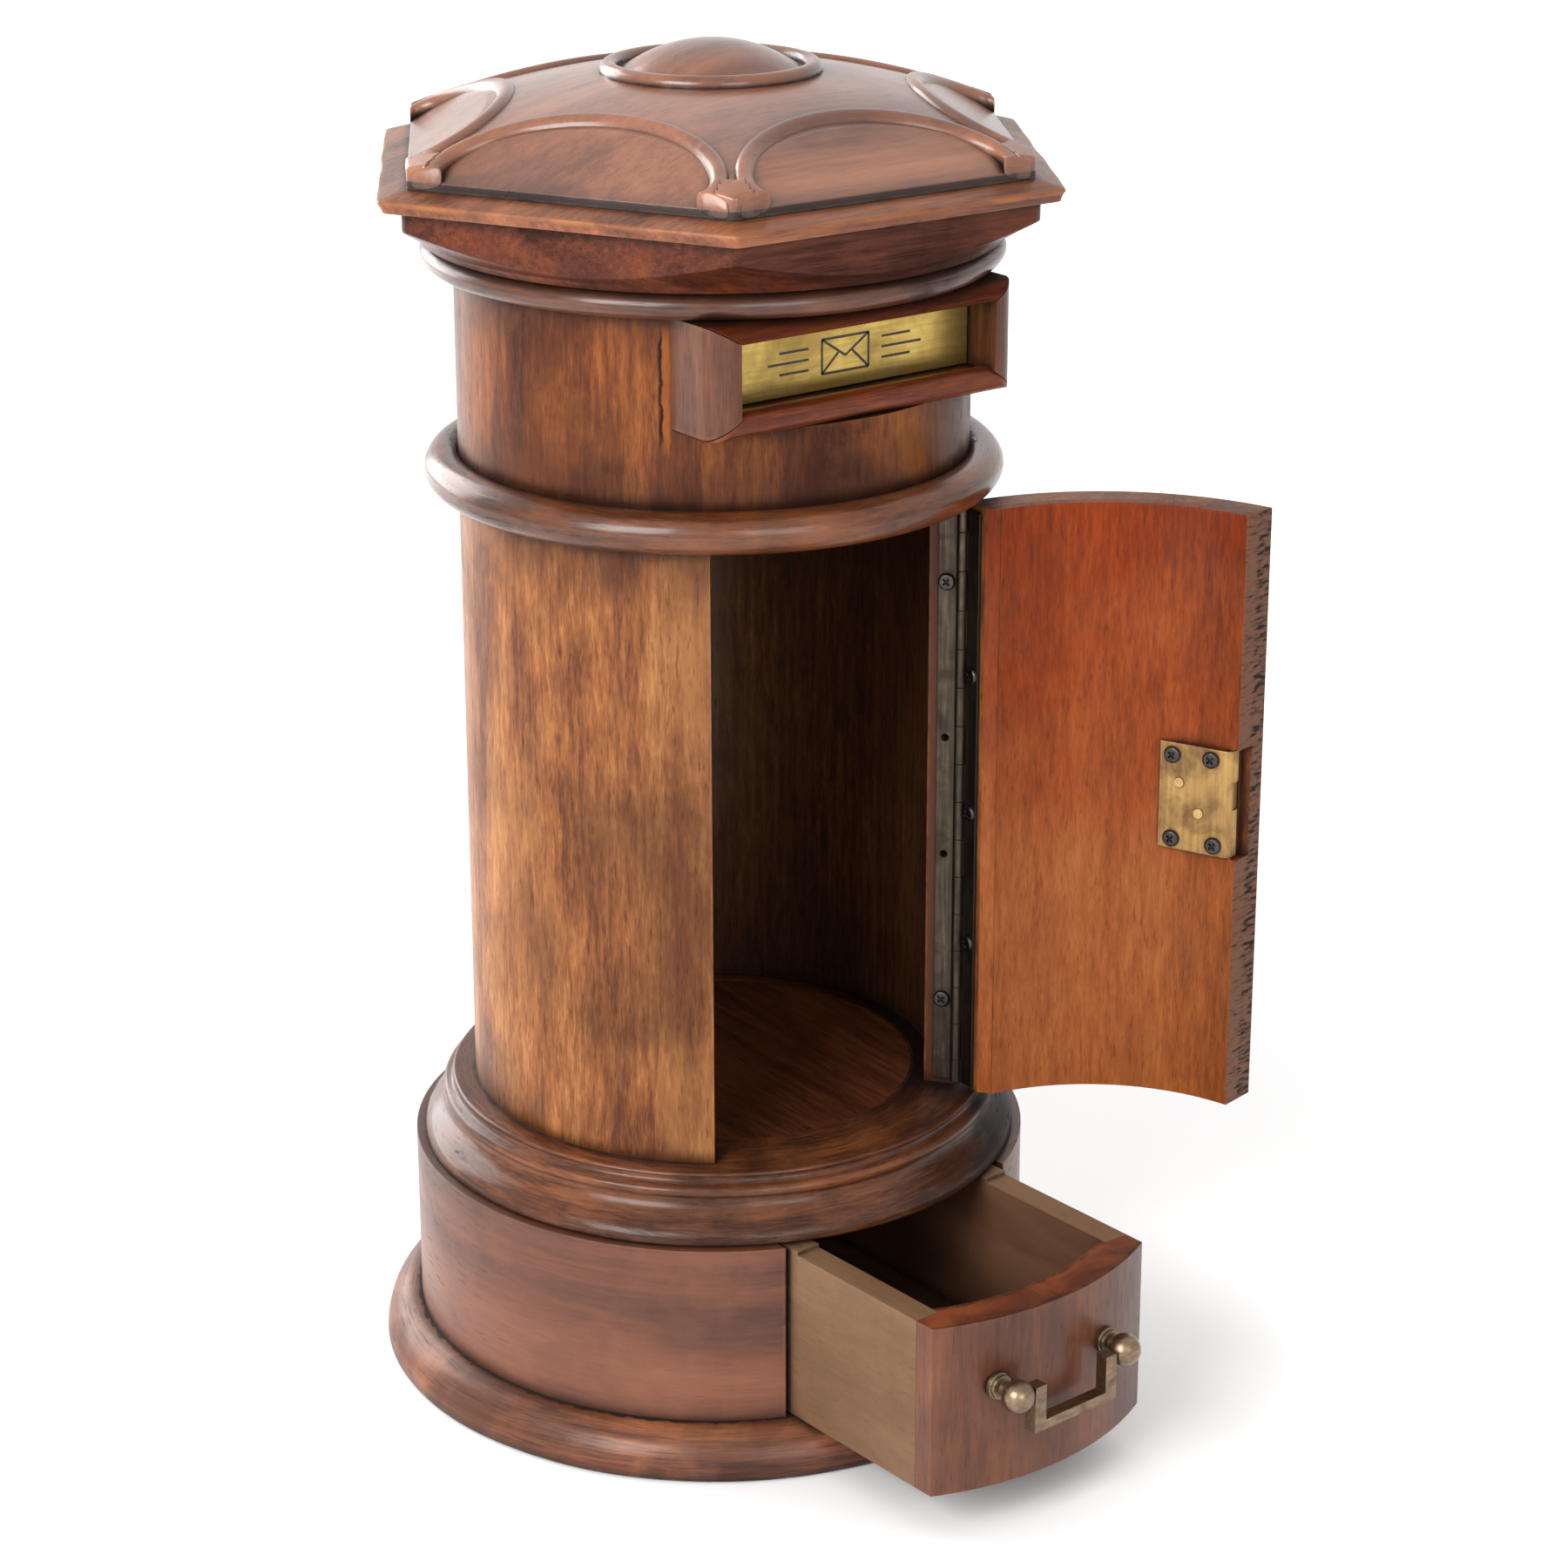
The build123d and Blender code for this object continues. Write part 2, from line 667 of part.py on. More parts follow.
def hinge_leaf(side, levels):
    """One leaf of the long hinge with its share of the knuckles."""
    middle = hinge_bottom_z + hinge_length / 2
    plate = Pos(side * (knuckle_r - leaf_thickness / 2), leaf_width / 2, middle) * Box(
        leaf_thickness, leaf_width, hinge_length
    )
    knuckle_room = Pos(0, 0, middle) * Cylinder(knuckle_r + 0.2, hinge_length + 2)
    body = plate - knuckle_room
    top = hinge_bottom_z + hinge_length
    z1 = top
    z0 = top - first_knuckle
    owner = 1
    while z1 > hinge_bottom_z + 1:
        z0 = max(z0, hinge_bottom_z)
        if owner == side:
            height = z1 - z0 - knuckle_gap
            barrel = Pos(0, 0, (z0 + z1) / 2) * Cylinder(knuckle_r, height)
            web = Pos(side * (knuckle_r - leaf_thickness / 2), knuckle_r / 2, (z0 + z1) / 2) * Box(
                leaf_thickness, knuckle_r + 1, height
            )
            body = body + barrel + web
        owner = -owner
        z1 = z0
        z0 = z1 - knuckle_pitch
    body -= Pos(0, 0, middle) * Cylinder(hinge_pin_r + pin_clearance, hinge_length + 2)
    body = Rot(0, 0, hinge_turn) * body
    spot = hinge_point()
    body = Pos(spot.X, spot.Y, 0) * body
    for z in levels:
        body -= leaf_hole(z, side)
    return body


def hinge_pin():
    """Pin through all the knuckles."""
    spot = hinge_point()
    return Pos(spot.X, spot.Y, hinge_bottom_z + hinge_length / 2) * Cylinder(hinge_pin_r, hinge_length)


def lock_frame():
    """Place on the free edge's inner arris: +X towards the hinge, -Y out through the door, Z up."""
    free_turn = opening_turn + degrees(door_free_gap / column_r)
    spot = polar(door_bore_r, free_turn)
    return Pos(spot.X, spot.Y, 0) * Rot(0, 0, lock_turn)


def lock_sheet():
    """Plate and flange in one bent sheet, with its outer radius where it turns over the edge."""
    inner_r = lock_bend_r - lock_plate
    centre = Vector(lock_inset + lock_bend_r, -inner_r)
    turn = 90 - selvedge_lean
    normal = Vector(cos(radians(90 + turn)), sin(radians(90 + turn)))
    along = Vector(-normal.Y, normal.X)
    outer_end = centre + normal * lock_bend_r
    inner_end = centre + normal * inner_r
    run = along * (selvedge_width - lock_bend_r)
    face = outline(
        Line((lock_far, lock_plate), (centre.X, lock_plate)).edge(),
        CenterArc((centre.X, centre.Y), lock_bend_r, 90, turn).edge(),
        Line(outer_end, outer_end + run).edge(),
        Line(outer_end + run, inner_end + run).edge(),
        Line(inner_end + run, inner_end).edge(),
        CenterArc((centre.X, centre.Y), inner_r, 90, turn).edge(),
        Line((centre.X, 0), (lock_far, 0)).edge(),
        Line((lock_far, 0), (lock_far, lock_plate)).edge(),
    )
    return Pos(0, 0, -lock_height / 2) * extrude(face, lock_height, dir=(0, 0, 1))


def lock_body(grow=0.0):
    """Solid body of the lock behind its plate."""
    middle = (lock_far + lock_inset) / 2 + 0.5
    return Pos(middle, -lock_body_depth / 2, 0) * Box(
        lock_body_width + 2 * grow, lock_body_depth + 2 * grow, lock_body_height + 2 * grow
    )


def lock_pocket():
    """Room for the lock in the door, door shut."""
    grow = lock_seat_gap
    width = lock_far - lock_inset
    plate = Pos((lock_far + lock_inset) / 2, lock_plate / 2, 0) * Box(
        width + 2 * grow, lock_plate + 2 * grow, lock_height + 2 * grow
    )
    corner = Pos(lock_inset + lock_bend_r / 2, 0, 0) * Box(
        lock_bend_r + 2 * grow, 2 * selvedge_width, lock_height + 2 * grow
    )
    return lock_frame() * Pos(0, 0, lock_z) * (plate + lock_body(grow) + corner)


def lock_case():
    """Lock: plate over the hollow face, body let into the door, flange bent over the edge."""
    shape = lock_sheet() + lock_body()
    for x, dz in lock_screw_places:
        shape -= Pos(x, 0, dz) * Rot(90, 0, 0) * Cylinder(screw_shank_r + 0.1, 40)
    for x, dz in rivet_places:
        shape -= Pos(x, lock_plate, dz) * Rot(90, 0, 0) * Cylinder(rivet_r + 0.02, 2 * lock_plate)
    shape = lock_frame() * Pos(0, 0, lock_z) * shape
    return shape - bolt_box(0.0, bolt_slack) - bolt_box(bolt_throw + 1.0, bolt_slack)


def edge_notch():
    """Cut across the door's free edge that the lock's flange lies in."""
    height = lock_height + 2 * edge_notch_spare
    return lock_frame() * Pos(lock_inset / 2 - 1, 1 - edge_notch_depth / 2, lock_z) * Box(
        lock_inset + 2.4, edge_notch_depth + 2, height
    )


def bolt_box(out, slack=0.0):
    """Block of the bolt's length shot out by a distance, grown by a slack all round, door shut."""
    return (
        lock_frame()
        * Pos(lock_inset + bolt_length / 2 - out + 0.3, -bolt_behind_plate, bolt_z)
        * Box(bolt_length + 2 * slack, bolt_thickness + 2 * slack, bolt_height + 2 * slack)
    )


def lock_screws():
    """Four screws that hold the lock."""
    screws = []
    face = lock_plate + 0.02
    for x, dz in lock_screw_places:
        head = Pos(x, face + screw_head_height / 2, 0) * Rot(90, 0, 0) * Cylinder(
            screw_head_r, screw_head_height
        )
        head = fillet(head.edges().filter_by(GeomType.CIRCLE).sort_by(Axis.Y)[-1], screw_head_round)
        for tilt in (45, -45):
            head -= Pos(x, face + screw_head_height, 0) * Rot(0, tilt, 0) * Box(
                screw_cross_width, 2 * screw_cross_depth, screw_cross_length
            )
        shank = Pos(x, face - lock_screw_depth / 2, 0) * Rot(90, 0, 0) * Cylinder(
            screw_shank_r, lock_screw_depth
        )
        screws.append(lock_frame() * Pos(0, 0, lock_z + dz) * (head + shank))
    return screws


def lock_rivets():
    """Two riveted ends that show on the lock plate."""
    rivets = []
    height = lock_plate + rivet_height
    for x, dz in rivet_places:
        rivet = Pos(x, height / 2 + 0.02, lock_z + dz) * Rot(90, 0, 0) * Cylinder(rivet_r, height)
        rivets.append(lock_frame() * rivet)
    return rivets


def keyhole():
    """Plain keyhole from the door's face to the lock."""
    x = keyhole_in
    depth = 30.0
    start = -lock_body_depth + 1.0
    top = Pos(x, start - depth / 2, lock_z + 2) * Rot(90, 0, 0) * Cylinder(keyhole_r, depth)
    slot = Pos(x, start - depth / 2, lock_z + 2 - keyhole_drop / 2) * Box(keyhole_slot, depth, keyhole_drop)
    return lock_frame() * (top + slot)


def door_panel():
    """Curved door, shut."""
    z0 = floor_z + door_bottom_gap
    z1 = ring_bottom_z - door_top_gap
    height = z1 - z0
    middle = (z0 + z1) / 2
    body = tube(column_r, door_bore_r, z0, z1)
    wood_gap = knuckle_r + leaf_bed
    hinge_side = frame_at(hinge_turn, 0, middle) * Pos(-200 - wood_gap, -100, 0) * Box(400, 200, height)
    free_side = frame_at(opening_turn, 0, middle) * Pos(200 + door_free_gap, -100, 0)
    free_side = free_side * Box(400, 200, height)
    body = body & hinge_side & free_side
    arris = frame_at(hinge_turn, door_bore_r, middle) * Pos(-wood_gap, 0, 0)
    cut = door_edge_chamfer * sqrt(2)
    body -= arris * Rot(0, 0, 45) * Box(cut, cut, height + 2)
    body -= lock_pocket()
    body -= bolt_box(0.0, bolt_slack + 0.1)
    body -= bolt_box(bolt_throw + 1.0, bolt_slack + 0.1)
    body -= edge_notch()
    for x, dz in lock_screw_places:
        spot = Pos(x, -lock_screw_depth / 2, lock_z + dz)
        body -= lock_frame() * spot * Rot(90, 0, 0) * Cylinder(screw_shank_r + 0.1, lock_screw_depth + 3)
    for z in door_screw_z:
        body -= leaf_hole(z, -1)
    return body - keyhole()


# ---------------------------------------------------------------- drawer
def pull_out(shape):
    """Move a piece of the drawer from shut to the rest pose and turn it with the base."""
    return turn_base(Pos(0, -drawer_out, 0) * shape)


def drawer_side_front_y():
    """Where the straight sides meet the back of the curved front."""
    return -sqrt((drum_r - drawer_front_thickness) ** 2 - (drawer_width / 2) ** 2)


def drawer_front():
    """Curved front, following the drum."""
    z0 = drawer_bottom_z
    height = drawer_top_z - z0
    shell = tube(drum_r, drum_r - drawer_front_thickness, z0, drawer_top_z)
    keep = Pos(0, -drum_r, z0 + height / 2) * Box(drawer_width, 2 * drum_r, height)
    body = shell & keep
    rear = Pos(0, drum_r, 0) * Box(4 * drum_r, 2 * drum_r, 4 * drawer_top_z)
    body -= rear
    for side in (-1, 1):
        body -= drawer_side(side, 0.05)
    body -= drawer_bottom(0.1)
    for x in post_places():
        body -= Pos(x, -drum_r, post_z) * Rot(90, 0, 0) * Cylinder(post_bolt_r + 0.1, 60)
        foot_y = post_foot_y(x)
        body -= Pos(x, foot_y - 5, post_z) * Rot(90, 0, 0) * Cylinder(post_ring_r + 0.1, 10)
    return body


def drawer_side(side, grow=0.0):
    """Straight side, let a little way into the front, with its raised rear part."""
    y0 = drawer_side_front_y() - drawer_lap
    y1 = drawer_back_y
    x = side * (drawer_width - drawer_side_thickness) / 2
    height = drawer_top_z - drawer_bottom_z
    middle = (drawer_top_z + drawer_bottom_z) / 2
    body = Pos(x, (y0 + y1) / 2, middle) * Box(
        drawer_side_thickness + 2 * grow, y1 - y0 + 2 * grow, height + 2 * grow
    )
    if grow > 0:
        return body
    step = Pos(x, (drawer_step_y + y1) / 2, drawer_top_z + drawer_step_height / 2) * Box(
        drawer_side_thickness, y1 - drawer_step_y, drawer_step_height
    )
    return body + step - drawer_bottom(0.1)


def drawer_back():
    """Back board between the sides, a little lower than they are."""
    width = drawer_width - 2 * drawer_side_thickness - 2 * glue_gap
    thickness = drawer_side_thickness
    top = drawer_top_z - drawer_back_drop
    low = drawer_bottom_z + drawer_floor_lift + drawer_floor_thickness + 0.1
    return Pos(0, drawer_back_y - thickness / 2, (top + low) / 2) * Box(width, thickness, top - low)


def drawer_bottom(grow=0.0):
    """Thin board housed in the sides and the front."""
    inner = drawer_width / 2 - drawer_side_thickness + drawer_floor_housing
    z0 = drawer_bottom_z + drawer_floor_lift
    front_r = drum_r - drawer_front_thickness + drawer_floor_housing
    board = Pos(0, 0, z0 + drawer_floor_thickness / 2) * Box(
        2 * inner + 2 * grow, 2 * drawer_back_y + 2 * grow, drawer_floor_thickness + 2 * grow
    )
    nose = Pos(0, -drawer_back_y, z0 + drawer_floor_thickness / 2) * Box(
        2 * inner + 2 * grow, 60, drawer_floor_thickness + 2 * grow
    )
    disc = Pos(0, 0, z0 + drawer_floor_thickness / 2) * Cylinder(
        front_r + grow, drawer_floor_thickness + 2 * grow
    )
    return (board + nose) & disc


def post_places():
    """Where the two posts stand across the drawer."""
    return (pull_x - post_spacing / 2, pull_x + post_spacing / 2)


def post_foot_y(x):
    """Flat seat of a post at x on the curved front, drawer shut: level with the wood at the post's axis."""
    return -sqrt(drum_r**2 - x**2)


def pivot_y():
    """Where the bail's pins turn, drawer shut; both posts reach the same line."""
    return post_foot_y(pull_x + post_spacing / 2) - post_ball_out


def handle_posts():
    """Two turned posts: stacked rings, a neck and a ball bored for the bail."""
    posts = []
    for x in post_places():
        foot_y = post_foot_y(x) - glue_gap
        reach = foot_y - pivot_y()
        profile = [
            (0.0, post_bolt_length),
            (post_bolt_r, post_bolt_length),
            (post_bolt_r, 0.0),
            (post_ring_r, 0.0),
            (post_ring_r, -1.5),
            (post_ring_r - 0.8, -1.9),
            (post_ring_r - 0.4, -2.4),
            (post_ring_r - 0.5, -3.3),
            (post_neck_r, -4.0),
            (post_neck_r, -reach + post_ball_r / 2),
            (0.0, -reach + post_ball_r / 2),
        ]
        stem = revolve(make_face(Polyline([(r, y, 0) for r, y in profile], close=True)), Axis.Y, 360)
        ball = Pos(0, -reach, 0) * Sphere(post_ball_r)
        inward = -1 if x > pull_x else 1
        bore = Pos(inward * post_ball_r, -reach, 0) * Rot(0, 90, 0) * Cylinder(
            bail_pin_r + pin_clearance, 2 * (bail_pin_grip + 0.2)
        )
        posts.append(Pos(x, foot_y, post_z) * (stem + ball - bore))
    return posts


def bail():
    """Square-edged bail on two short pins, hanging."""
    outer = post_spacing / 2 - post_ball_r - bail_side_gap
    body = Pos(0, 0, -bail_drop + bail_bar / 2) * Box(2 * outer, bail_depth, bail_bar)
    for side in (-1, 1):
        x = side * (outer - bail_leg / 2)
        body += Pos(x, 0, (bail_top - bail_drop) / 2) * Box(bail_leg, bail_depth, bail_drop + bail_top)
        pin_length = bail_pin_grip + bail_side_gap + 0.5
        body += Pos(side * (outer + pin_length / 2 - 0.5), 0, 0) * Rot(0, 90, 0) * Cylinder(
            bail_pin_r, pin_length
        )
    return Pos(pull_x, pivot_y(), post_z) * body


# ---------------------------------------------------------------- write
def build():
    """Every node of the part, by name."""
    nodes = {
        "plinth": plinth(),
        "bottom_board": bottom_board(),
        "drawer_housing": drawer_housing(),
        "drawer_guide_left": drawer_guide(-1),
        "drawer_guide_right": drawer_guide(1),
        "base_moulding": base_moulding(),
        "floor_disc": floor_disc(),
        "lower_shell": lower_shell(),
        "mid_ring": mid_ring(),
        "upper_drum": upper_drum(),
        "neck_ring": neck_ring(),
        "cornice": cornice(),
        "cap_board": cap_board(),
        "cap_crown": cap_crown(),
        "cap_boss": cap_boss(),
        "slot_frame_top": frame_piece("top"),
        "slot_frame_bottom": frame_piece("bottom"),
        "slot_frame_left": frame_piece("left"),
        "slot_frame_right": frame_piece("right"),
        "flap_pin": flap_pin(),
        "letter_flap": letter_flap(),
        "hinge_leaf_fixed": hinge_leaf(1, fixed_screw_z + empty_hole_z),
        "hinge_pin": hinge_pin(),
        "hinge_screws_fixed": leaf_screws(fixed_screw_z, 1),
        "door_panel": swing_open(door_panel()),
        "hinge_leaf_door": swing_open(hinge_leaf(-1, door_screw_z)),
        "hinge_screws_door": [swing_open(s) for s in leaf_screws(door_screw_z, -1)],
        "lock_case": swing_open(lock_case()),
        "lock_screws": [swing_open(s) for s in lock_screws()],
        "lock_rivets": [swing_open(s) for s in lock_rivets()],
        "lock_bolt": swing_open(bolt_box(0.0)),
        "drawer_front": pull_out(drawer_front()),
        "drawer_side_left": pull_out(drawer_side(-1)),
        "drawer_side_right": pull_out(drawer_side(1)),
        "drawer_back": pull_out(drawer_back()),
        "drawer_bottom": pull_out(drawer_bottom()),
        "handle_posts": [pull_out(p) for p in handle_posts()],
        "drawer_bail": pull_out(bail()),
    }
    return nodes


os.makedirs("parts", exist_ok=True)
for name, shape in build().items():
    if isinstance(shape, list):
        shape = Compound(children=shape)
    export_step(shape, f"parts/{name}.step")
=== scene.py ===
import json
import math

import bmesh
import bpy
import numpy as np
from mathutils import Matrix, Vector


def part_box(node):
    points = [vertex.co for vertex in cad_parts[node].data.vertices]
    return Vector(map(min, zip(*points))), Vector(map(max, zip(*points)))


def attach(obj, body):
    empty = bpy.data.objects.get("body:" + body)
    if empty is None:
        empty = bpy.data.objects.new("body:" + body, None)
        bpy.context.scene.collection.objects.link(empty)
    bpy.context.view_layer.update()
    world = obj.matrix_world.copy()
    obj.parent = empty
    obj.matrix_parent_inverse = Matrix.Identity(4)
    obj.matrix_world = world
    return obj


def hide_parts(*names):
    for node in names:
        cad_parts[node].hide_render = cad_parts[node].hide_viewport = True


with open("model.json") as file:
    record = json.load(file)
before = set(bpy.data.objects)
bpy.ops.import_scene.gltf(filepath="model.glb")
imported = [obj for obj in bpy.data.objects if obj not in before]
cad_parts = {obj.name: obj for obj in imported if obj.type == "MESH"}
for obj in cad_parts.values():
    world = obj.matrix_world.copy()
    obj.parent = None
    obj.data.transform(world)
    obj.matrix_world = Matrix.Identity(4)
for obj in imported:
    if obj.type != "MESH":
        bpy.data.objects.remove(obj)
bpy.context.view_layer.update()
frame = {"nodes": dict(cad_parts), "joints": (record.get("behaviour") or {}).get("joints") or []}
nodes = frame["nodes"]
mm = 0.001

# ------------------------------------------------------------------ foot
# The foot is a turned mahogany ring, rounded from the drum down to its widest line and worn along
# its lower edge, with a plain disc glued inside it. Both stand on the table.


def skin(name, points, material, close_v=True, caps=False, turn=0.0, crease=35.0):
    """Closed surface through a grid of points. Rows follow one another round the piece, or from end
    to end where caps close it; columns run along the profile. turn is an angle about Z in degrees."""
    rows, columns = points.shape[:2]
    angle = math.radians(turn)
    cosine, sine = math.cos(angle), math.sin(angle)
    spin = np.array([[cosine, -sine, 0], [sine, cosine, 0], [0, 0, 1]])
    vertices = points.reshape(-1, 3) @ spin.T
    row_count = rows - 1 if caps else rows
    column_count = columns if close_v else columns - 1
    row, column = np.meshgrid(np.arange(row_count), np.arange(column_count), indexing="ij")
    next_row = (row + 1) % rows
    next_column = (column + 1) % columns
    corners = [row * columns + column, next_row * columns + column]
    corners += [next_row * columns + next_column, row * columns + next_column]
    faces = np.stack(corners, -1).reshape(-1, 4).tolist()
    if caps:
        faces.append(list(range(columns)))
        faces.append(list(range((rows - 1) * columns, rows * columns)))
    mesh = bpy.data.meshes.new(name)
    mesh.from_pydata(vertices.tolist(), [], faces)
    tidy_mesh(mesh, crease)
    mesh.materials.append(material)
    piece = bpy.data.objects.new(name, mesh)
    bpy.context.scene.collection.objects.link(piece)
    return piece


def tidy_mesh(mesh, crease):
    """Merges doubled points, turns every face outwards and shades smooth up to the crease angle."""
    work = bmesh.new()
    work.from_mesh(mesh)
    bmesh.ops.remove_doubles(work, verts=work.verts, dist=1e-7)
    bmesh.ops.dissolve_degenerate(work, edges=work.edges, dist=1e-8)
    bmesh.ops.recalc_face_normals(work, faces=work.faces)
    work.to_mesh(mesh)
    work.free()
    mesh.polygons.foreach_set("use_smooth", np.ones(len(mesh.polygons), bool))
    mesh.set_sharp_from_angle(angle=math.radians(crease))


def bow(centre_r, centre_z, reach, rise, start, stop, count):
    """Profile points on an ellipse about (centre_r, centre_z), from start to stop degrees."""
    t = np.radians(np.linspace(start, stop, count))
    return np.stack([centre_r + reach * np.cos(t), centre_z + rise * np.sin(t)], -1)


def fine(points, step):
    """Profile with its straight stretches divided so that no stretch is longer than step."""
    points = np.asarray(points, float)
    pieces = []
    for a, b in zip(points, np.roll(points, -1, 0)):
        count = max(1, int(np.ceil(np.linalg.norm(b - a) / step)))
        pieces.append(a + (b - a) * (np.arange(count) / count)[:, None])
    return np.concatenate(pieces)


def turned(name, profile, material, wobble=0.0, seed=0.0):
    """Surface of revolution about Z. Each point at angle a sits at (r cos a, r sin a, z), with r
    moved in by up to wobble along a sum of three slow sines, as in hand-rubbed work."""
    steps = 288
    a = np.linspace(0, 2 * np.pi, steps, endpoint=False)[:, None]
    r = profile[None, :, 0]
    z = profile[None, :, 1]
    sway = np.sin(3 * a + seed) + np.sin(7 * a + 2 * seed + 60 * z) + np.sin(13 * a + 5 * seed)
    r = r - wobble * (3 + sway) / 6 * (r > 1e-6)
    points = np.stack([r * np.cos(a), r * np.sin(a), z + 0 * a], -1)
    return skin(name, points, material)


def feed(tree, node, feeds):
    """Gives a node's inputs a value each, or another node's output."""
    for key, value in feeds.items():
        if isinstance(value, bpy.types.NodeSocket):
            tree.links.new(value, node.inputs[key])
        else:
            node.inputs[key].default_value = value


def put(tree, kind, feeds=None, **settings):
    """Adds a shader node with these settings and feeds."""
    node = tree.nodes.new("ShaderNode" + kind)
    for key, value in settings.items():
        setattr(node, key, value)
    feed(tree, node, feeds or {})
    return node


def new_group(name, takes, gives):
    """Empty node group with named inputs and outputs; returns it with its two end nodes."""
    group = bpy.data.node_groups.new(name, "ShaderNodeTree")
    for title, kind, value in takes:
        socket = group.interface.new_socket(name=title, in_out="INPUT", socket_type="NodeSocket" + kind)
        if value is not None:
            socket.default_value = value
    for title, kind in gives:
        group.interface.new_socket(name=title, in_out="OUTPUT", socket_type="NodeSocket" + kind)
    start = group.nodes.new("NodeGroupInput").outputs
    end = group.nodes.new("NodeGroupOutput")
    return group, start, end


def ranged(tree, value, low, high, to_low=0.0, to_high=1.0):
    """Value stretched from low..high to to_low..to_high and held there."""
    feeds = {"Value": value, "From Min": low, "From Max": high, "To Min": to_low, "To Max": to_high}
    return put(tree, "MapRange", feeds, clamp=True).outputs["Result"]


def maths(tree, operation, a, b=0.0):
    return put(tree, "Math", {0: a, 1: b}, operation=operation).outputs[0]


def times(tree, a, b):
    return maths(tree, "MULTIPLY", a, b)


def plus(tree, a, b):
    return maths(tree, "ADD", a, b)


def minus(tree, a, b):
    return maths(tree, "SUBTRACT", a, b)


def coordinates(tree, vector):
    """A vector's X, Y and Z."""
    return put(tree, "SeparateXYZ", {0: vector}).outputs


def stretched(tree, vector, scale=(1.0, 1.0, 1.0), shift=(0.0, 0.0, 0.0)):
    """A place scaled, then moved."""
    return put(tree, "Mapping", {"Vector": vector, "Scale": scale, "Location": shift}).outputs["Vector"]


def from_axis(tree, spot):
    """The level part of a place, and how far it is from the upright axis."""
    level = put(tree, "VectorMath", {0: spot, 1: (1, 1, 0)}, operation="MULTIPLY").outputs[0]
    return level, put(tree, "VectorMath", {0: level}, operation="LENGTH").outputs["Value"]


def dot(tree, a, b):
    return put(tree, "VectorMath", {0: a, 1: b}, operation="DOT_PRODUCT").outputs["Value"]


def noise(tree, vector, scale, detail, **more):
    """Cloudy value between 0 and 1, in clouds of about 1 / scale metres."""
    feeds = {"Vector": vector, "Scale": scale, "Detail": detail, **more}
    return put(tree, "TexNoise", feeds).outputs["Fac"]


def blend(tree, factor, a, b):
    """Colour a mixed towards colour b by factor."""
    return put(tree, "Mix", {0: factor, 6: a, 7: b}, data_type="RGBA").outputs[2]


def tones(tree, factor, stops):
    """Colour ramp through (place, colour) stops."""
    node = put(tree, "ValToRGB", {"Fac": factor})
    ramp = node.color_ramp
    while len(ramp.elements) < len(stops):
        ramp.elements.new(0.5)
    for element, (place, colour) in zip(ramp.elements, stops):
        element.position = place
        element.color = (*colour, 1)
    return node.outputs["Color"]


def build_wood_figure():
    """Slow figure, fibres, pores and a height, from a place already drawn out along the grain."""
    group, start, end = new_group(
        "wood_figure",
        [("Vector", "Vector", None), ("Figure Scale", "Float", 40.0), ("Pore Level", "Float", 0.64)],
        [("Figure", "Float"), ("Fibre", "Float"), ("Pores", "Float"), ("Height", "Float")],
    )
    vector = start["Vector"]
    figure = noise(group, vector, start["Figure Scale"], 4.0, Roughness=0.55, Distortion=0.7)
    broad = noise(group, vector, 420.0, 3.0)
    thin = noise(group, vector, 1500.0, 2.0)
    fibre = plus(group, times(group, broad, 0.6), times(group, thin, 0.4))
    speck = noise(group, vector, 950.0, 1.0)
    upper = plus(group, start["Pore Level"], 0.07)
    pores = ranged(group, speck, start["Pore Level"], upper)
    height = minus(group, times(group, fibre, 0.5), pores)
    for title, value in (("Figure", figure), ("Fibre", fibre), ("Pores", pores), ("Height", height)):
        group.links.new(value, end.inputs[title])
    return group


def build_stain_patches():
    """Soft-edged patches of stain that was rubbed on unevenly."""
    group, start, end = new_group(
        "stain_patches",
        [("Vector", "Vector", None), ("Scale", "Float", 16.0),
         ("Low", "Float", 0.45), ("High", "Float", 0.62)],
        [("Mask", "Float")],
    )
    cloud = noise(group, start["Vector"], start["Scale"], 6.0, Roughness=0.62, Distortion=0.4)
    group.links.new(ranged(group, cloud, start["Low"], start["High"]), end.inputs["Mask"])
    return group


def build_corner_shade_and_grime():
    """Painted shade with dark polish where surfaces meet, from how closed in a point is, and rubbed arrises.
    """
    group, start, end = new_group(
        "corner_shade_and_grime",
        [("Vector", "Vector", None), ("Reach", "Float", 0.006), ("Arris", "Float", 0.0015)],
        [("Shade and Grime", "Float"), ("Rubbed", "Float")],
    )
    closed = put(group, "AmbientOcclusion", {"Distance": start["Reach"]}, samples=6)
    thin = put(group, "AmbientOcclusion", {"Distance": start["Arris"]}, samples=6, inside=True)
    speckle = noise(group, start["Vector"], 130.0, 4.0)
    shade_and_grime = times(group, ranged(group, closed.outputs["AO"], 0.97, 0.52),
                  ranged(group, speckle, 0.2, 0.55, 0.6, 1.0))
    rubbed = times(group, ranged(group, thin.outputs["AO"], 0.9, 0.55), ranged(group, speckle, 0.35, 0.65))
    group.links.new(shade_and_grime, end.inputs["Shade and Grime"])
    group.links.new(rubbed, end.inputs["Rubbed"])
    return group


wood_figure = build_wood_figure()
stain_patches = build_stain_patches()
corner_shade_and_grime = build_corner_shade_and_grime()


def effect(tree, group, feeds):
    """Places a node group in a material."""
    node = tree.nodes.new("ShaderNodeGroup")
    node.node_tree = group
    feed(tree, node, feeds)
    return node.outputs


def blank_material(name):
    """Material with only its shader and output; returns it with its tree and the shader."""
    material = bpy.data.materials.new(name)
    material.use_nodes = True
    shader = material.node_tree.nodes["Principled BSDF"]
    return material, material.node_tree, shader


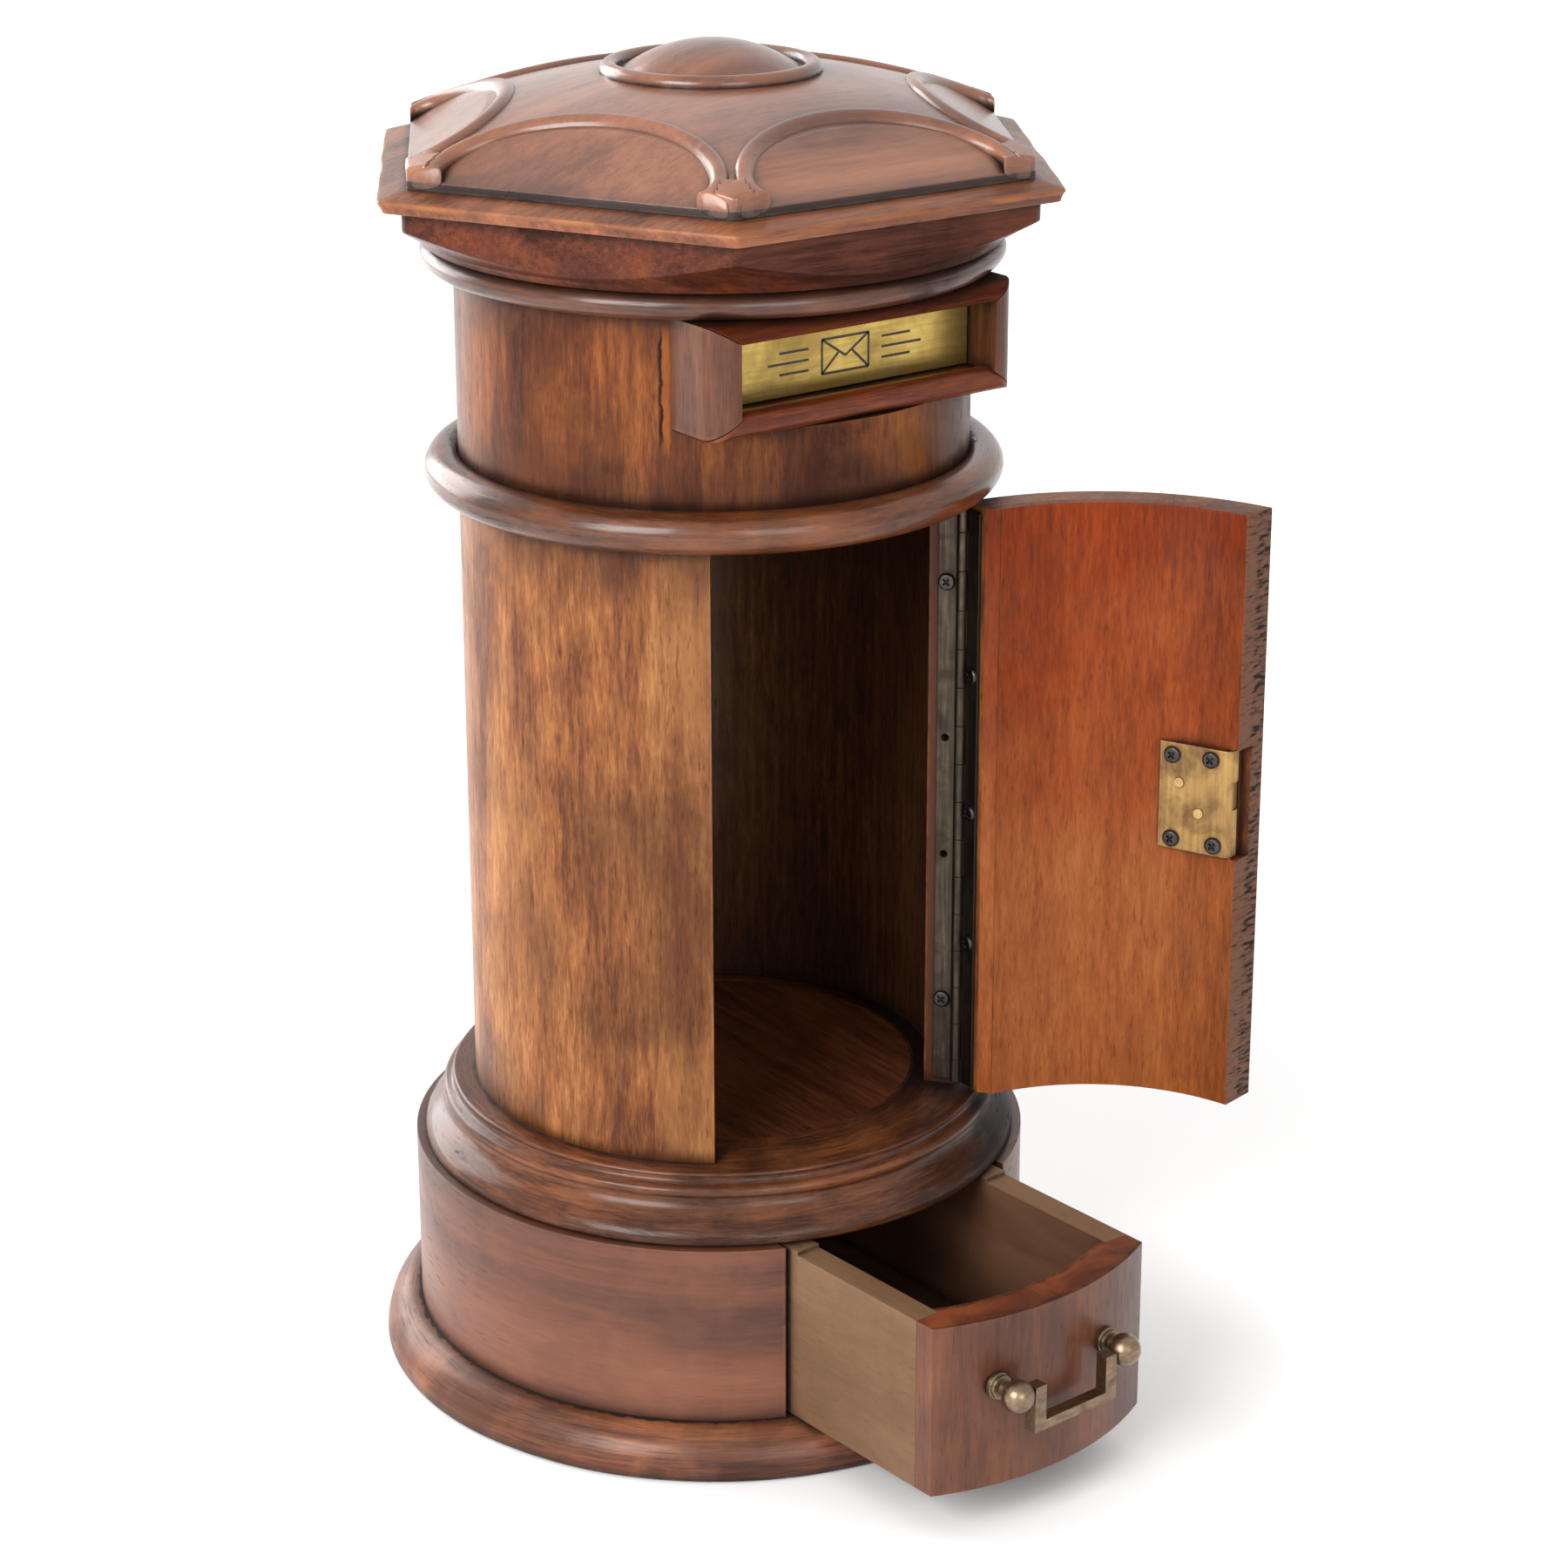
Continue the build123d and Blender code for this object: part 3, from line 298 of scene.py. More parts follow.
def add_bump(tree, shader, height, normal, strength, distance):
    """Fine relief from a height, on a normal that the bevel has already softened."""
    feeds = {"Height": height, "Strength": strength, "Distance": distance, "Normal": normal}
    tree.links.new(put(tree, "Bump", feeds).outputs["Normal"], shader.inputs["Normal"])


near_black = (0.010, 0.0045, 0.003)
arc_r = 0.11  # radius at which the grain of turned pieces keeps its scale


def timber(name, along, deep, mid, pale, patch_scale=15.0, dark=0.6, light=0.6, drawn_out=0.07,
           figure_scale=40.0, pore_level=0.64, pore_tone=0.55, shade_and_grime=0.85, rubbed=0.5, rough=0.36, coat=0.15,
           shift=(0.0, 0.0, 0.0), recolour=None, bevel=0.6 * mm, reach=6 * mm, specular=0.22,
           fibre_share=0.5, patch_draw=1.0):
    """Stained and rubbed wood with its grain along X, Y or Z, or round a turned piece, where the
    pattern runs on the arc's length, the radius and the height. dark and light are the strengths of
    the stain patches; recolour may change the colour for faces of another wood, joints and painted shade."""
    material, tree, shader = blank_material(name)
    place = put(tree, "TexCoord").outputs
    spot = place["Object"]
    stretch = [1.0, 1.0, 1.0]
    if along == "round":
        stretch[0] = drawn_out
        ways = coordinates(tree, spot)
        turn = maths(tree, "ARCTAN2", ways["X"], times(tree, ways["Y"], -1.0))
        arc = times(tree, turn, arc_r)
        radius = from_axis(tree, spot)[1]
        spot = put(tree, "CombineXYZ", {0: arc, 1: radius, 2: ways["Z"]}).outputs[0]
    else:
        stretch["XYZ".index(along)] = drawn_out
    drawn = stretched(tree, spot, stretch, shift)
    even = stretched(tree, place["Object"], shift=shift)
    grain_feeds = {"Vector": drawn, "Figure Scale": figure_scale, "Pore Level": pore_level}
    grain = effect(tree, wood_figure, grain_feeds)
    figure = times(tree, grain["Figure"], 1 - fibre_share)
    level = plus(tree, figure, times(tree, grain["Fibre"], fibre_share))
    colour = tones(tree, level, ((0.38, deep), (0.50, mid), (0.62, pale)))
    long_patch = stretched(tree, even, (1.0, 1.0, patch_draw))
    warm_feeds = {"Vector": long_patch, "Scale": patch_scale, "Low": 0.50, "High": 0.68}
    warm = effect(tree, stain_patches, warm_feeds)
    warm_share = times(tree, warm["Mask"], light)
    colour = blend(tree, warm_share, colour, (*pale, 1))
    moved = stretched(tree, even, shift=(0.31, 0.17, 0.53))
    shade_feeds = {"Vector": moved, "Scale": patch_scale * 0.8, "Low": 0.47, "High": 0.66}
    shade = effect(tree, stain_patches, shade_feeds)
    shade_share = times(tree, shade["Mask"], dark)
    colour = blend(tree, shade_share, colour, (*(0.55 * np.array(deep)), 1))
    pore_share = times(tree, grain["Pores"], pore_tone)
    colour = blend(tree, pore_share, colour, (*near_black, 1))
    if recolour:
        colour = recolour(tree, place, colour, grain)
    shade_grime_and_wear = effect(tree, corner_shade_and_grime, {"Vector": even, "Reach": reach})
    colour = blend(tree, times(tree, shade_grime_and_wear["Rubbed"], rubbed), colour, (*pale, 1))
    # Painted shade, with dark polish, darkens the wood's corners and creases here.
    colour = blend(tree, times(tree, shade_grime_and_wear["Shade and Grime"], shade_and_grime), colour, (*near_black, 1))
    tree.links.new(colour, shader.inputs["Base Color"])
    sheen = ranged(tree, shade["Mask"], 0.0, 1.0, rough, rough + 0.12)
    sheen = plus(tree, sheen, times(tree, grain["Pores"], 0.2))
    polished = ranged(tree, put(tree, "RGBToBW", {0: colour}).outputs[0], 0.004, 0.030)
    sheen = plus(tree, sheen, times(tree, minus(tree, 1.0, polished), 0.30))
    tree.links.new(sheen, shader.inputs["Roughness"])
    soft = put(tree, "Bevel", {"Radius": bevel}, samples=4).outputs["Normal"]
    add_bump(tree, shader, grain["Height"], soft, 0.22, 0.4 * mm)
    tree.links.new(times(tree, polished, coat), shader.inputs["Coat Weight"])
    shader.inputs["Coat Roughness"].default_value = 0.20
    shader.inputs["Specular IOR Level"].default_value = specular
    return material


foot_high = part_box("plinth")[1]
foot_r = foot_high.x
foot_top = foot_high.z
foot_lip = 2.7 * mm
foot_seat_r = foot_r - 13.9 * mm
board_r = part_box("bottom_board")[1].x
foot_profile = np.concatenate([
    bow(foot_r - foot_lip, foot_lip, foot_lip, foot_lip, -90, 0, 7),
    bow(foot_seat_r, foot_lip, foot_r - foot_seat_r, foot_top - foot_lip, 0, 90, 22)[1:],
    [(board_r + 0.05 * mm, foot_top), (board_r + 0.05 * mm, 0.0)],
])


def joint_line(joint_r, reach=1.8 * mm):
    """Recolour step: a ragged black line of old polish where a ring meets the wall of radius joint_r."""
    def step(tree, place, colour, grain):
        radius = from_axis(tree, place["Object"])[1]
        ragged = noise(tree, place["Object"], 240.0, 4.0)
        far = minus(tree, radius, ranged(tree, ragged, 0.35, 0.65, 0.0, reach))
        line = ranged(tree, far, joint_r + 0.9 * mm, joint_r + 0.2 * mm, 0.0, 0.92)
        return blend(tree, line, colour, (*near_black, 1))
    return step


drum_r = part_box("drawer_housing")[1].x
foot_wood = timber(
    "foot_mahogany", "round", (0.065, 0.020, 0.011), (0.190, 0.060, 0.026), (0.37, 0.135, 0.058),
    rubbed=0.8, light=0.75, dark=0.65, specular=0.28, pore_tone=0.35, recolour=joint_line(drum_r),
)
foot = turned("foot_ring", foot_profile, foot_wood, wobble=0.5 * mm, seed=1.3)
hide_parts("plinth")
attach(foot, "pillar")


def dress(material, *node_names):
    """Gives these pieces this finish on every face."""
    for node_name in node_names:
        mesh = nodes[node_name].data
        mesh.materials.clear()
        mesh.materials.append(material)


dress(foot_wood, "bottom_board")

# ------------------------------------------------------------------ drum of the base
# A drum of bent mahogany, its front cut away square for the drawer. The stain is dark and cloudy,
# and painted shade darkens it along its upper and lower edges, where it meets the board and the foot.
drum_wood = timber(
    "drum_mahogany", "round", (0.070, 0.022, 0.012), (0.155, 0.050, 0.025), (0.235, 0.083, 0.041),
    patch_scale=13.0, dark=0.6, light=0.55, drawn_out=0.10, shift=(0.2, 0.0, 0.0), rubbed=0.6,
    specular=0.35, coat=0.2, pore_tone=0.12, figure_scale=22.0, fibre_share=0.22,
)
dress(drum_wood, "drawer_housing")
runner_wood = timber(
    "runner_wood", "Y", (0.10, 0.055, 0.03), (0.17, 0.10, 0.055), (0.26, 0.17, 0.10), coat=0.0, rough=0.6,
    dark=0.3, light=0.3, rubbed=0.1,
)
dress(runner_wood, "drawer_guide_left", "drawer_guide_right")

# ------------------------------------------------------------------ moulded board
# A turned board with an ogee and a small bead, glued on the drum. Its top carries the pillar, and
# a thin disc is let into it as the compartment's floor.
moulding_low, moulding_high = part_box("base_moulding")
moulding_r = moulding_high.x
moulding_base = moulding_low.z
moulding_top = moulding_high.z
disc_low, disc_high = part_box("floor_disc")
recess_r = disc_high.x + 0.3 * mm
moulding_ease = 0.5 * mm
moulding_fillet = 1.2 * mm  # upright edge under the ogee
ogee_depth = 9.8 * mm
ogee_swing = 0.145
small_bead_r, small_bead_z = moulding_r - 9.6 * mm, moulding_top - 6.7 * mm
small_bead_half, small_bead_rise = 1.9 * mm, 2.2 * mm
cove_r, cove_z = moulding_r - 9.4 * mm, moulding_top - 2.1 * mm
cove_half, cove_rise = 2.4 * mm, 2.2 * mm
brim_round = 1.1 * mm
brim_r = moulding_r - 12.6 * mm
ogee_low = moulding_base + moulding_fillet
ogee_t = np.linspace(0, 1, 18)[1:]
ogee_in = (ogee_t - ogee_swing * np.sin(2 * np.pi * ogee_t)) ** 0.9  # slow, fast, slow
ogee_up = (small_bead_z - small_bead_rise - ogee_low) * ogee_t
moulding_profile = np.concatenate([
    [(0.0, moulding_base), (moulding_r - moulding_ease, moulding_base)],
    [(moulding_r, moulding_base + moulding_fillet / 2)],
    np.stack([moulding_r - ogee_depth * ogee_in, ogee_low + ogee_up], -1),
    bow(small_bead_r, small_bead_z, small_bead_half, small_bead_rise, -75, 75, 9),
    bow(cove_r, cove_z, cove_half, cove_rise, 250, 170, 6),
    bow(brim_r, moulding_top - brim_round, brim_round, brim_round, 10, 90, 5),
    [(recess_r, moulding_top), (recess_r, disc_low.z), (0.0, disc_low.z)],
])


def right_side_shadow(tree, place, colour, grain):
    """Painted shadow: the wood is coloured nearly black on the right of the doorway."""
    ways = coordinates(tree, place["Object"])
    cloud = noise(tree, place["Object"], 18.0, 4.0)
    right = plus(tree, ways["X"], ranged(tree, cloud, 0.3, 0.7, -22 * mm, 22 * mm))
    front = ranged(tree, ways["Y"], 60 * mm, 0.0, 0.0, 0.96)
    share = times(tree, ranged(tree, right, 0.0, 55 * mm), front)
    return blend(tree, share, colour, (0.010, 0.005, 0.004, 1))


moulding_wood = timber(
    "moulding_mahogany", "round", (0.030, 0.009, 0.005), (0.095, 0.030, 0.013), (0.24, 0.080, 0.030),
    rubbed=0.5, dark=0.65, light=0.5, shift=(0.0, 0.3, 0.1), specular=0.13, coat=0.35, rough=0.30,
    drawn_out=0.12, pore_tone=0.3, recolour=right_side_shadow,
)
moulding = turned("moulded_board", moulding_profile, moulding_wood, wobble=0.35 * mm, seed=2.1)
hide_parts("base_moulding")
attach(moulding, "pillar")
floor_wood = timber(
    "floor_mahogany", "Y", (0.034, 0.009, 0.005), (0.105, 0.030, 0.012), (0.20, 0.062, 0.024), dark=0.4,
    light=0.5, shift=(0.1, 0.0, 0.7), shade_and_grime=0.9,
)
dress(floor_wood, "floor_disc")

# ------------------------------------------------------------------ wall of the compartment
# A bent wall of mahogany with upright grain, open at the front for the door. Outside it is pale in
# the middle and darker towards the doorway and the rings; inside, painted shade makes it dark, and it is
# dull.
shell_low, shell_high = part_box("lower_shell")
shell_r = shell_high.x
shell_bore_r = shell_r - 12.6 * mm


def sawn_faces_and_inner_shade(tree, place, colour, grain):
    """Painted shade inside the bore: the wood there is coloured dark brown to nearly black, and hardly
    polished.
    """
    flat, radius = from_axis(tree, place["Object"])
    inside = ranged(tree, radius, shell_bore_r + 0.4 * mm, shell_bore_r - 0.1 * mm)
    towards = put(tree, "VectorMath", {0: flat}, operation="NORMALIZE").outputs[0]
    facing = dot(tree, towards, place["Normal"])
    sawn = ranged(tree, maths(tree, "ABSOLUTE", facing), 0.6, 0.4)
    colour = blend(tree, sawn, colour, (0.085, 0.024, 0.010, 1))
    # Painted shade: near-black tones for the wood inside the bore.
    bare_strip_and_inner_shade = tones(tree, grain["Fibre"], ((0.30, (0.011, 0.005, 0.003)), (0.70, (0.045, 0.018, 0.010))))
    return blend(tree, inside, colour, bare_strip_and_inner_shade)


bare_foot = (388 * mm, 398 * mm)  # heights over which the bare strip beside the slot fades in
bare_head = (437 * mm, 431 * mm)


def shaded_ends(low, high, doorway=None, strip=None):
    """Recolour step: a pillar piece darkens along its upper and lower ends and by the doorway; without a
    doorway, painted shade darkens its right side.
    strip is the X of a bare strip with a crack in it, beside the frame of the slot."""
    def step(tree, place, colour, grain):
        ways = coordinates(tree, place["Object"])
        cloud = noise(tree, place["Object"], 22.0, 4.0)
        height = plus(tree, ways["Z"], ranged(tree, cloud, 0.3, 0.7, -16 * mm, 16 * mm))
        foot_share = ranged(tree, height, low + 26 * mm, low)
        head_share = ranged(tree, height, high - 30 * mm, high)
        share = times(tree, maths(tree, "MAXIMUM", foot_share, head_share), 0.72)
        if doorway:
            across = dot(tree, place["Object"], doorway)
            across = plus(tree, across, ranged(tree, cloud, 0.3, 0.7, -10 * mm, 10 * mm))
            door_share = times(tree, ranged(tree, across, 52 * mm, 84 * mm), 0.40)
            share = maths(tree, "MAXIMUM", share, door_share)
        else:
            # Painted shade: without a doorway the piece darkens towards its right side, away from the lamps.
            right = plus(tree, ways["X"], ranged(tree, cloud, 0.3, 0.7, -12 * mm, 12 * mm))
            share = maths(tree, "MAXIMUM", share, ranged(tree, right, 22 * mm, 70 * mm, 0.0, 0.86))
        colour = blend(tree, share, colour, (0.045, 0.012, 0.005, 1))
        if strip:
            ragged = noise(tree, place["Object"], 160.0, 3.0)
            side = plus(tree, ways["X"], ranged(tree, ragged, 0.3, 0.7, -0.4 * mm, 0.4 * mm))
            off = maths(tree, "ABSOLUTE", minus(tree, side, strip))
            front = maths(tree, "LESS_THAN", ways["Y"], 0.0)
            front = times(tree, front, ranged(tree, ways["Z"], *bare_foot))
            front = times(tree, front, ranged(tree, ways["Z"], *bare_head))
            bare_strip_and_inner_shade = times(tree, ranged(tree, off, 1.2 * mm, 0.6 * mm), front)
            crack = maths(tree, "ABSOLUTE", minus(tree, side, strip - 1.3 * mm))
            crack = times(tree, ranged(tree, crack, 0.6 * mm, 0.25 * mm), front)
            worn = times(tree, bare_strip_and_inner_shade, ranged(tree, cloud, 0.42, 0.60, 0.0, 0.8))
            colour = blend(tree, worn, colour, (0.30, 0.080, 0.013, 1))
            colour = blend(tree, times(tree, crack, 0.9), colour, (*near_black, 1))
        return sawn_faces_and_inner_shade(tree, place, colour, grain)
    return step


doorway_edge = (-math.sin(math.radians(10)), -math.cos(math.radians(10)), 0.0)
shell_wood = timber(
    "pillar_mahogany", "Z", (0.125, 0.038, 0.014), (0.310, 0.108, 0.033), (0.53, 0.235, 0.078),
    patch_scale=14.0, dark=0.62, light=0.85, drawn_out=0.14, figure_scale=36.0, specular=0.09, coat=0.15,
    pore_tone=0.38, patch_draw=0.42, recolour=shaded_ends(shell_low.z, shell_high.z, doorway_edge),
    rubbed=0.3,
)
dress(shell_wood, "lower_shell")

# ------------------------------------------------------------------ rings
# Two turned rings. The larger sits between the two walls of the pillar; the smaller hides the
# joint under the cornice. Both are rubbed bright on the bead, and where they meet the walls a black
# joint line and painted shade darken them.
ring_low, ring_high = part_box("mid_ring")
ring_bead_half = 8.25 * mm
ring_bead_rise = (ring_high.z - ring_low.z) / 2
ring_mid_z = (ring_high.z + ring_low.z) / 2
ring_seat_z = ring_low.z + 13.6 * mm
ring_seat_r = shell_r + 0.1 * mm
ring_foot_z = ring_low.z + 0.05 * mm
ring_profile = np.concatenate([
    bow(ring_high.x - ring_bead_half, ring_mid_z, ring_bead_half, ring_bead_rise, -122, 122, 36),
    [(ring_seat_r, ring_seat_z), (shell_bore_r, ring_seat_z)],
    [(shell_bore_r, ring_foot_z), (ring_seat_r, ring_foot_z)],
])
ring_wood = timber(
    "ring_mahogany", "round", (0.036, 0.011, 0.005), (0.110, 0.032, 0.011), (0.24, 0.075, 0.024),
    rubbed=0.4, dark=0.5, shift=(0.4, 0.1, 0.0), drawn_out=0.12, specular=0.26, coat=0.45, rough=0.27,
    pore_tone=0.3, recolour=joint_line(shell_r),
)
ring = turned("pillar_ring", ring_profile, ring_wood, wobble=0.5 * mm, seed=4.0)
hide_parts("mid_ring")
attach(ring, "pillar")

neck_low, neck_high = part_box("neck_ring")
neck_bead_half = 6.8 * mm
neck_rise = (neck_high.z - neck_low.z) / 2
neck_mid_z = (neck_high.z + neck_low.z) / 2
neck_seat_r = shell_r + 0.05 * mm
neck_profile = np.concatenate([
    bow(neck_high.x - neck_bead_half, neck_mid_z, neck_bead_half, neck_rise, -135, 135, 28),
    [(neck_seat_r, neck_mid_z + 0.6 * neck_rise), (neck_seat_r, neck_mid_z - 0.6 * neck_rise)],
])
neck_wood = timber(
    "neck_mahogany", "round", (0.030, 0.010, 0.007), (0.085, 0.028, 0.014), (0.17, 0.060, 0.028),
    rubbed=0.4, dark=0.8, light=0.4, shift=(0.9, 0.1, 0.2), specular=0.25, coat=0.5, rough=0.28,
    pore_tone=0.3, recolour=joint_line(shell_r, 1.2 * mm),
)
neck = turned("neck_bead", neck_profile, neck_wood, wobble=0.5 * mm, seed=0.4)
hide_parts("neck_ring")
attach(neck, "pillar")

# ------------------------------------------------------------------ upper wall
# The upper wall of the pillar, with the letter slot cut through it. Its stain was brushed round.
upper_low, upper_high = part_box("upper_drum")
bare_strip_x = -69.2 * mm
upper_wood = timber(
    "upper_mahogany", "Z", (0.050, 0.013, 0.005), (0.135, 0.035, 0.010), (0.31, 0.098, 0.021),
    patch_scale=16.0, fibre_share=0.4, specular=0.07, coat=0.15, pore_tone=0.25, figure_scale=32.0,
    dark=0.55, light=0.75, drawn_out=0.14,
    recolour=shaded_ends(upper_low.z, upper_high.z, strip=bare_strip_x), rubbed=0.2, shift=(0.0, 0.5, 0.3),
)
dress(upper_wood, "upper_drum")

# ------------------------------------------------------------------ cornice
# A turned flare whose outside was then sawn to a hexagon, so that each flat ends below in a
# shallow curve. It is glued under the cap's board, and both are turned a little on the pillar.
cap_turn = -2.1
cornice_low, cornice_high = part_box("cornice")
cornice_corner_r = cornice_high.x
cornice_flare = np.array([  # radius and height, in millimetres
    (108.6, 451.05), (111.0, 453.9), (114.2, 456.0), (122.5, 461.0), (132.6, 466.5), (145.0, 473.3),
])
to_flat = math.cos(math.pi / 6) / math.cos(math.radians(cap_turn))  # from a corner's X to a flat
cornice_flat_r = cornice_corner_r * to_flat


def hexagon_r(angle, flat_r, crispness=90.0):
    """Distance to a hexagon's edge at an angle: the p-norm of the six flats' distances, p being
    crispness, so that its corners are slightly rounded. Flats face 30, 90, 150 degrees and so on."""
    total = 0.0
    for k in range(6):
        facing = np.cos(angle - math.radians(30 + 60 * k))
        total = total + np.maximum(facing, 0) ** crispness
    return flat_r * total ** (-1.0 / crispness)


def ring_of_points(r, z):
    """Grid of points (r cos a, r sin a, z), with the angle a of each row taken from around."""
    return np.stack([r * np.cos(around), r * np.sin(around), z + 0 * around], -1)


around_count = 720
around = np.radians(np.linspace(0, 360, around_count, endpoint=False))[:, None]
cornice_t = np.linspace(0, 1, 60)[None, :]
cornice_z = cornice_low.z + (cornice_high.z - cornice_low.z) * cornice_t
flare = np.interp(cornice_z, cornice_flare[:, 1] * mm, cornice_flare[:, 0] * mm)
flat = hexagon_r(around, cornice_flat_r)
cornice_soft = 0.5 * mm
cornice_edge = 0.5 * (flare + flat - np.sqrt((flare - flat) ** 2 + cornice_soft ** 2))
cornice_edge = np.concatenate([0 * around, cornice_edge, 0 * around], 1)  # closed on the axis
cornice_z = np.concatenate([cornice_z[:, :1], cornice_z, cornice_z[:, -1:]], 1)
cornice_points = ring_of_points(cornice_edge, cornice_z)
cornice_wood = timber(
    "cornice_mahogany", "X", (0.026, 0.006, 0.003), (0.078, 0.015, 0.004), (0.18, 0.038, 0.009),
    specular=0.11, coat=0.25, pore_tone=0.3, dark=0.55, light=0.45, shift=(0.3, 0.2, 0.9), rubbed=0.55,
)
cornice = skin("cornice_flare", cornice_points, cornice_wood, close_v=False, turn=cap_turn)
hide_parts("cornice")
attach(cornice, "pillar")

# ------------------------------------------------------------------ board of the cap
# A hexagonal board, planed to a sharp arris that overhangs the cornice. Handling has rubbed the
# arris down to orange wood here and there.
board_low, board_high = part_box("cap_board")
board_corner_r = board_high.x
arris_z = board_low.z + 3.7 * mm
board_outline = np.array([
    (board_corner_r - 2.6 * mm, board_low.z),
    (board_corner_r - 0.6 * mm, arris_z - 0.7 * mm),
    (board_corner_r - 0.1 * mm, arris_z),
    (board_corner_r - 0.5 * mm, arris_z + 0.8 * mm),
    (board_corner_r - 11.1 * mm, board_high.z),
])
board_core_r = 100 * mm
board_core = [[(board_core_r, board_low.z)], [(board_core_r, board_high.z)]]
board_profile = fine(np.concatenate([board_core[0], board_outline, board_core[1]]), 2.5 * mm)
board_flat = hexagon_r(around, 1.0, 160.0) * board_profile[None, :, 0] * to_flat
dips = 0.35 * mm * (1 + np.sin(17 * around) * np.sin(5 * around + 1.0))
board_flat = board_flat - dips * (board_profile[None, :, 0] > board_corner_r - 2 * mm)
board_points = ring_of_points(board_flat, board_profile[None, :, 1])


def worn_arris(tree, place, colour, grain):
    """Handling has rubbed the arris through to orange wood in places."""
    height = coordinates(tree, place["Object"])["Z"]
    off = maths(tree, "ABSOLUTE", minus(tree, height, arris_z))
    rub = noise(tree, place["Object"], 38.0, 5.0)
    share = times(tree, ranged(tree, off, 1.5 * mm, 0.4 * mm), ranged(tree, rub, 0.42, 0.60, 0.1, 0.85))
    return blend(tree, share, colour, (0.42, 0.135, 0.034, 1))


board_wood = timber(
    "board_mahogany", "X", (0.085, 0.026, 0.012), (0.215, 0.067, 0.028), (0.38, 0.130, 0.050),
    recolour=worn_arris, dark=0.5, light=0.6, rubbed=1.0, shift=(0.6, 0.1, 0.4), pore_tone=0.25,
    specular=0.3,
)
board = skin("cap_board_planed", board_points, board_wood, turn=cap_turn)
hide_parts("cap_board")
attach(board, "pillar")

# ------------------------------------------------------------------ crown
# The domed block of the cap, with six half-elliptic panels sunk in its flanks. A round bead is
# carved along each panel, and neighbouring beads join over each corner in a spreading foot.
crown_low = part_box("cap_crown")[0]
crown_corner_r = 129.0 * mm
crown_flat_r = crown_corner_r * math.cos(math.pi / 6)
dome_r = 320.0 * mm
dome_rim_r = 41.2 * mm
dome_rim_z = 510.2 * mm
arch_half_width = 56.0 * mm
arch_depth = 36.4 * mm
bead_half = 3.5 * mm
bead_lift = 2.5 * mm
bead_deep = 4.0 * mm
bead_flare = 2.6 * mm  # half width that a bead gains at the eaves
bead_flare_depth = 3.6 * mm
panel_edge_z = 484.0 * mm
panel_slope = 0.594
notch_depth = 12.8 * mm


def higher(a, b, soft):
    """The higher of two surfaces, rounded over soft where they meet: half of their sum plus the root of
    their squared difference and soft squared."""
    return 0.5 * (a + b + np.sqrt((a - b) ** 2 + soft ** 2))


def dome_height(x, y):
    """Top of a sphere of radius dome_r that passes through the boss's rim."""
    centre_z = dome_rim_z - math.sqrt(dome_r ** 2 - dome_rim_r ** 2)
    return centre_z + np.sqrt(dome_r ** 2 - x ** 2 - y ** 2)


def crown_height(x, y):
    """Height of the carved dome. u runs along the nearest flat and v inwards from it. Inside the half
    ellipse u, v lies the sunk panel, a plane that rises inwards; over the corner the foot swells."""
    angle = np.arctan2(y, x)
    r = np.hypot(x, y)
    sector = np.mod(angle, math.radians(60)) - math.radians(30)
    u = r * np.sin(sector)
    v = crown_flat_r - r * np.cos(sector)
    dome = dome_height(x, y)
    inside = np.hypot(u / arch_half_width, v / arch_depth) < 1
    panel = np.minimum(panel_edge_z + panel_slope * v, dome - 0.7 * mm)
    swell = dome + 1.06 * bead_lift * np.clip((notch_depth - v) / (4.5 * mm), 0, 1)
    return np.where(inside, panel, higher(dome, swell, 0.25 * mm))


edge_steps = np.array([2.0, 1.5, 1.0, 0.6, 0.3, 0.1, 0.0]) * mm
crown_edge = hexagon_r(around, crown_flat_r, 260.0)
crown_start = dome_rim_r * 0.8
crown_t = np.linspace(0, 1, 120)[None, :-1]
crown_radius = crown_start + (crown_edge - 2.0 * mm - crown_start) * crown_t
crown_radius = np.concatenate([crown_radius, crown_edge - edge_steps[None, :]], 1)
crown_x = crown_radius * np.cos(around)
crown_y = crown_radius * np.sin(around)
crown_z = crown_height(crown_x, crown_y)
edge_round = np.where(crown_z[:, -1:] > panel_edge_z + 0.4 * mm, 0.9 * mm, 0.45 * mm)
edge_drop = np.clip((crown_radius - crown_edge + edge_round) / edge_round, 0, 1)
crown_z = crown_z - edge_round * (1 - np.sqrt(1 - edge_drop ** 2))
crown_top = np.stack([crown_x, crown_y, crown_z], -1)
foot_z = np.full(around_count, crown_low.z)
wall_foot = np.stack([crown_x[:, -1], crown_y[:, -1], foot_z], -1)[:, None]
inner_foot = np.stack([crown_x[:, 0], crown_y[:, 0], foot_z], -1)[:, None]
crown_points = np.concatenate([crown_top, wall_foot, inner_foot], 1)


def wall_and_eaves_shade(tree, place, colour, grain):
    """Painted shade: the crown darkens to its eaves, and its low upright wall is painted black."""
    height = coordinates(tree, place["Object"])["Z"]
    eaves = ranged(tree, height, panel_edge_z + 4 * mm, panel_edge_z, 0.0, 0.45)
    wall = ranged(tree, height, panel_edge_z - 0.1 * mm, panel_edge_z - 0.5 * mm, 0.0, 0.9)
    return blend(tree, wall, blend(tree, eaves, colour, (0.036, 0.010, 0.006, 1)), (*near_black, 1))


crown_wood = timber(
    "crown_mahogany", "X", (0.155, 0.053, 0.029), (0.320, 0.118, 0.058), (0.44, 0.175, 0.085), dark=0.35,
    light=0.45, shade_and_grime=1.0, rubbed=0.35, rough=0.38, coat=0.8, shift=(0.2, 0.6, 0.1), reach=4.5 * mm,
    specular=0.35, recolour=wall_and_eaves_shade, pore_tone=0.1, figure_scale=22.0, fibre_share=0.3,
)
crown = skin("carved_crown", crown_points, crown_wood, turn=cap_turn, crease=50)
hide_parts("cap_crown")
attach(crown, "pillar")


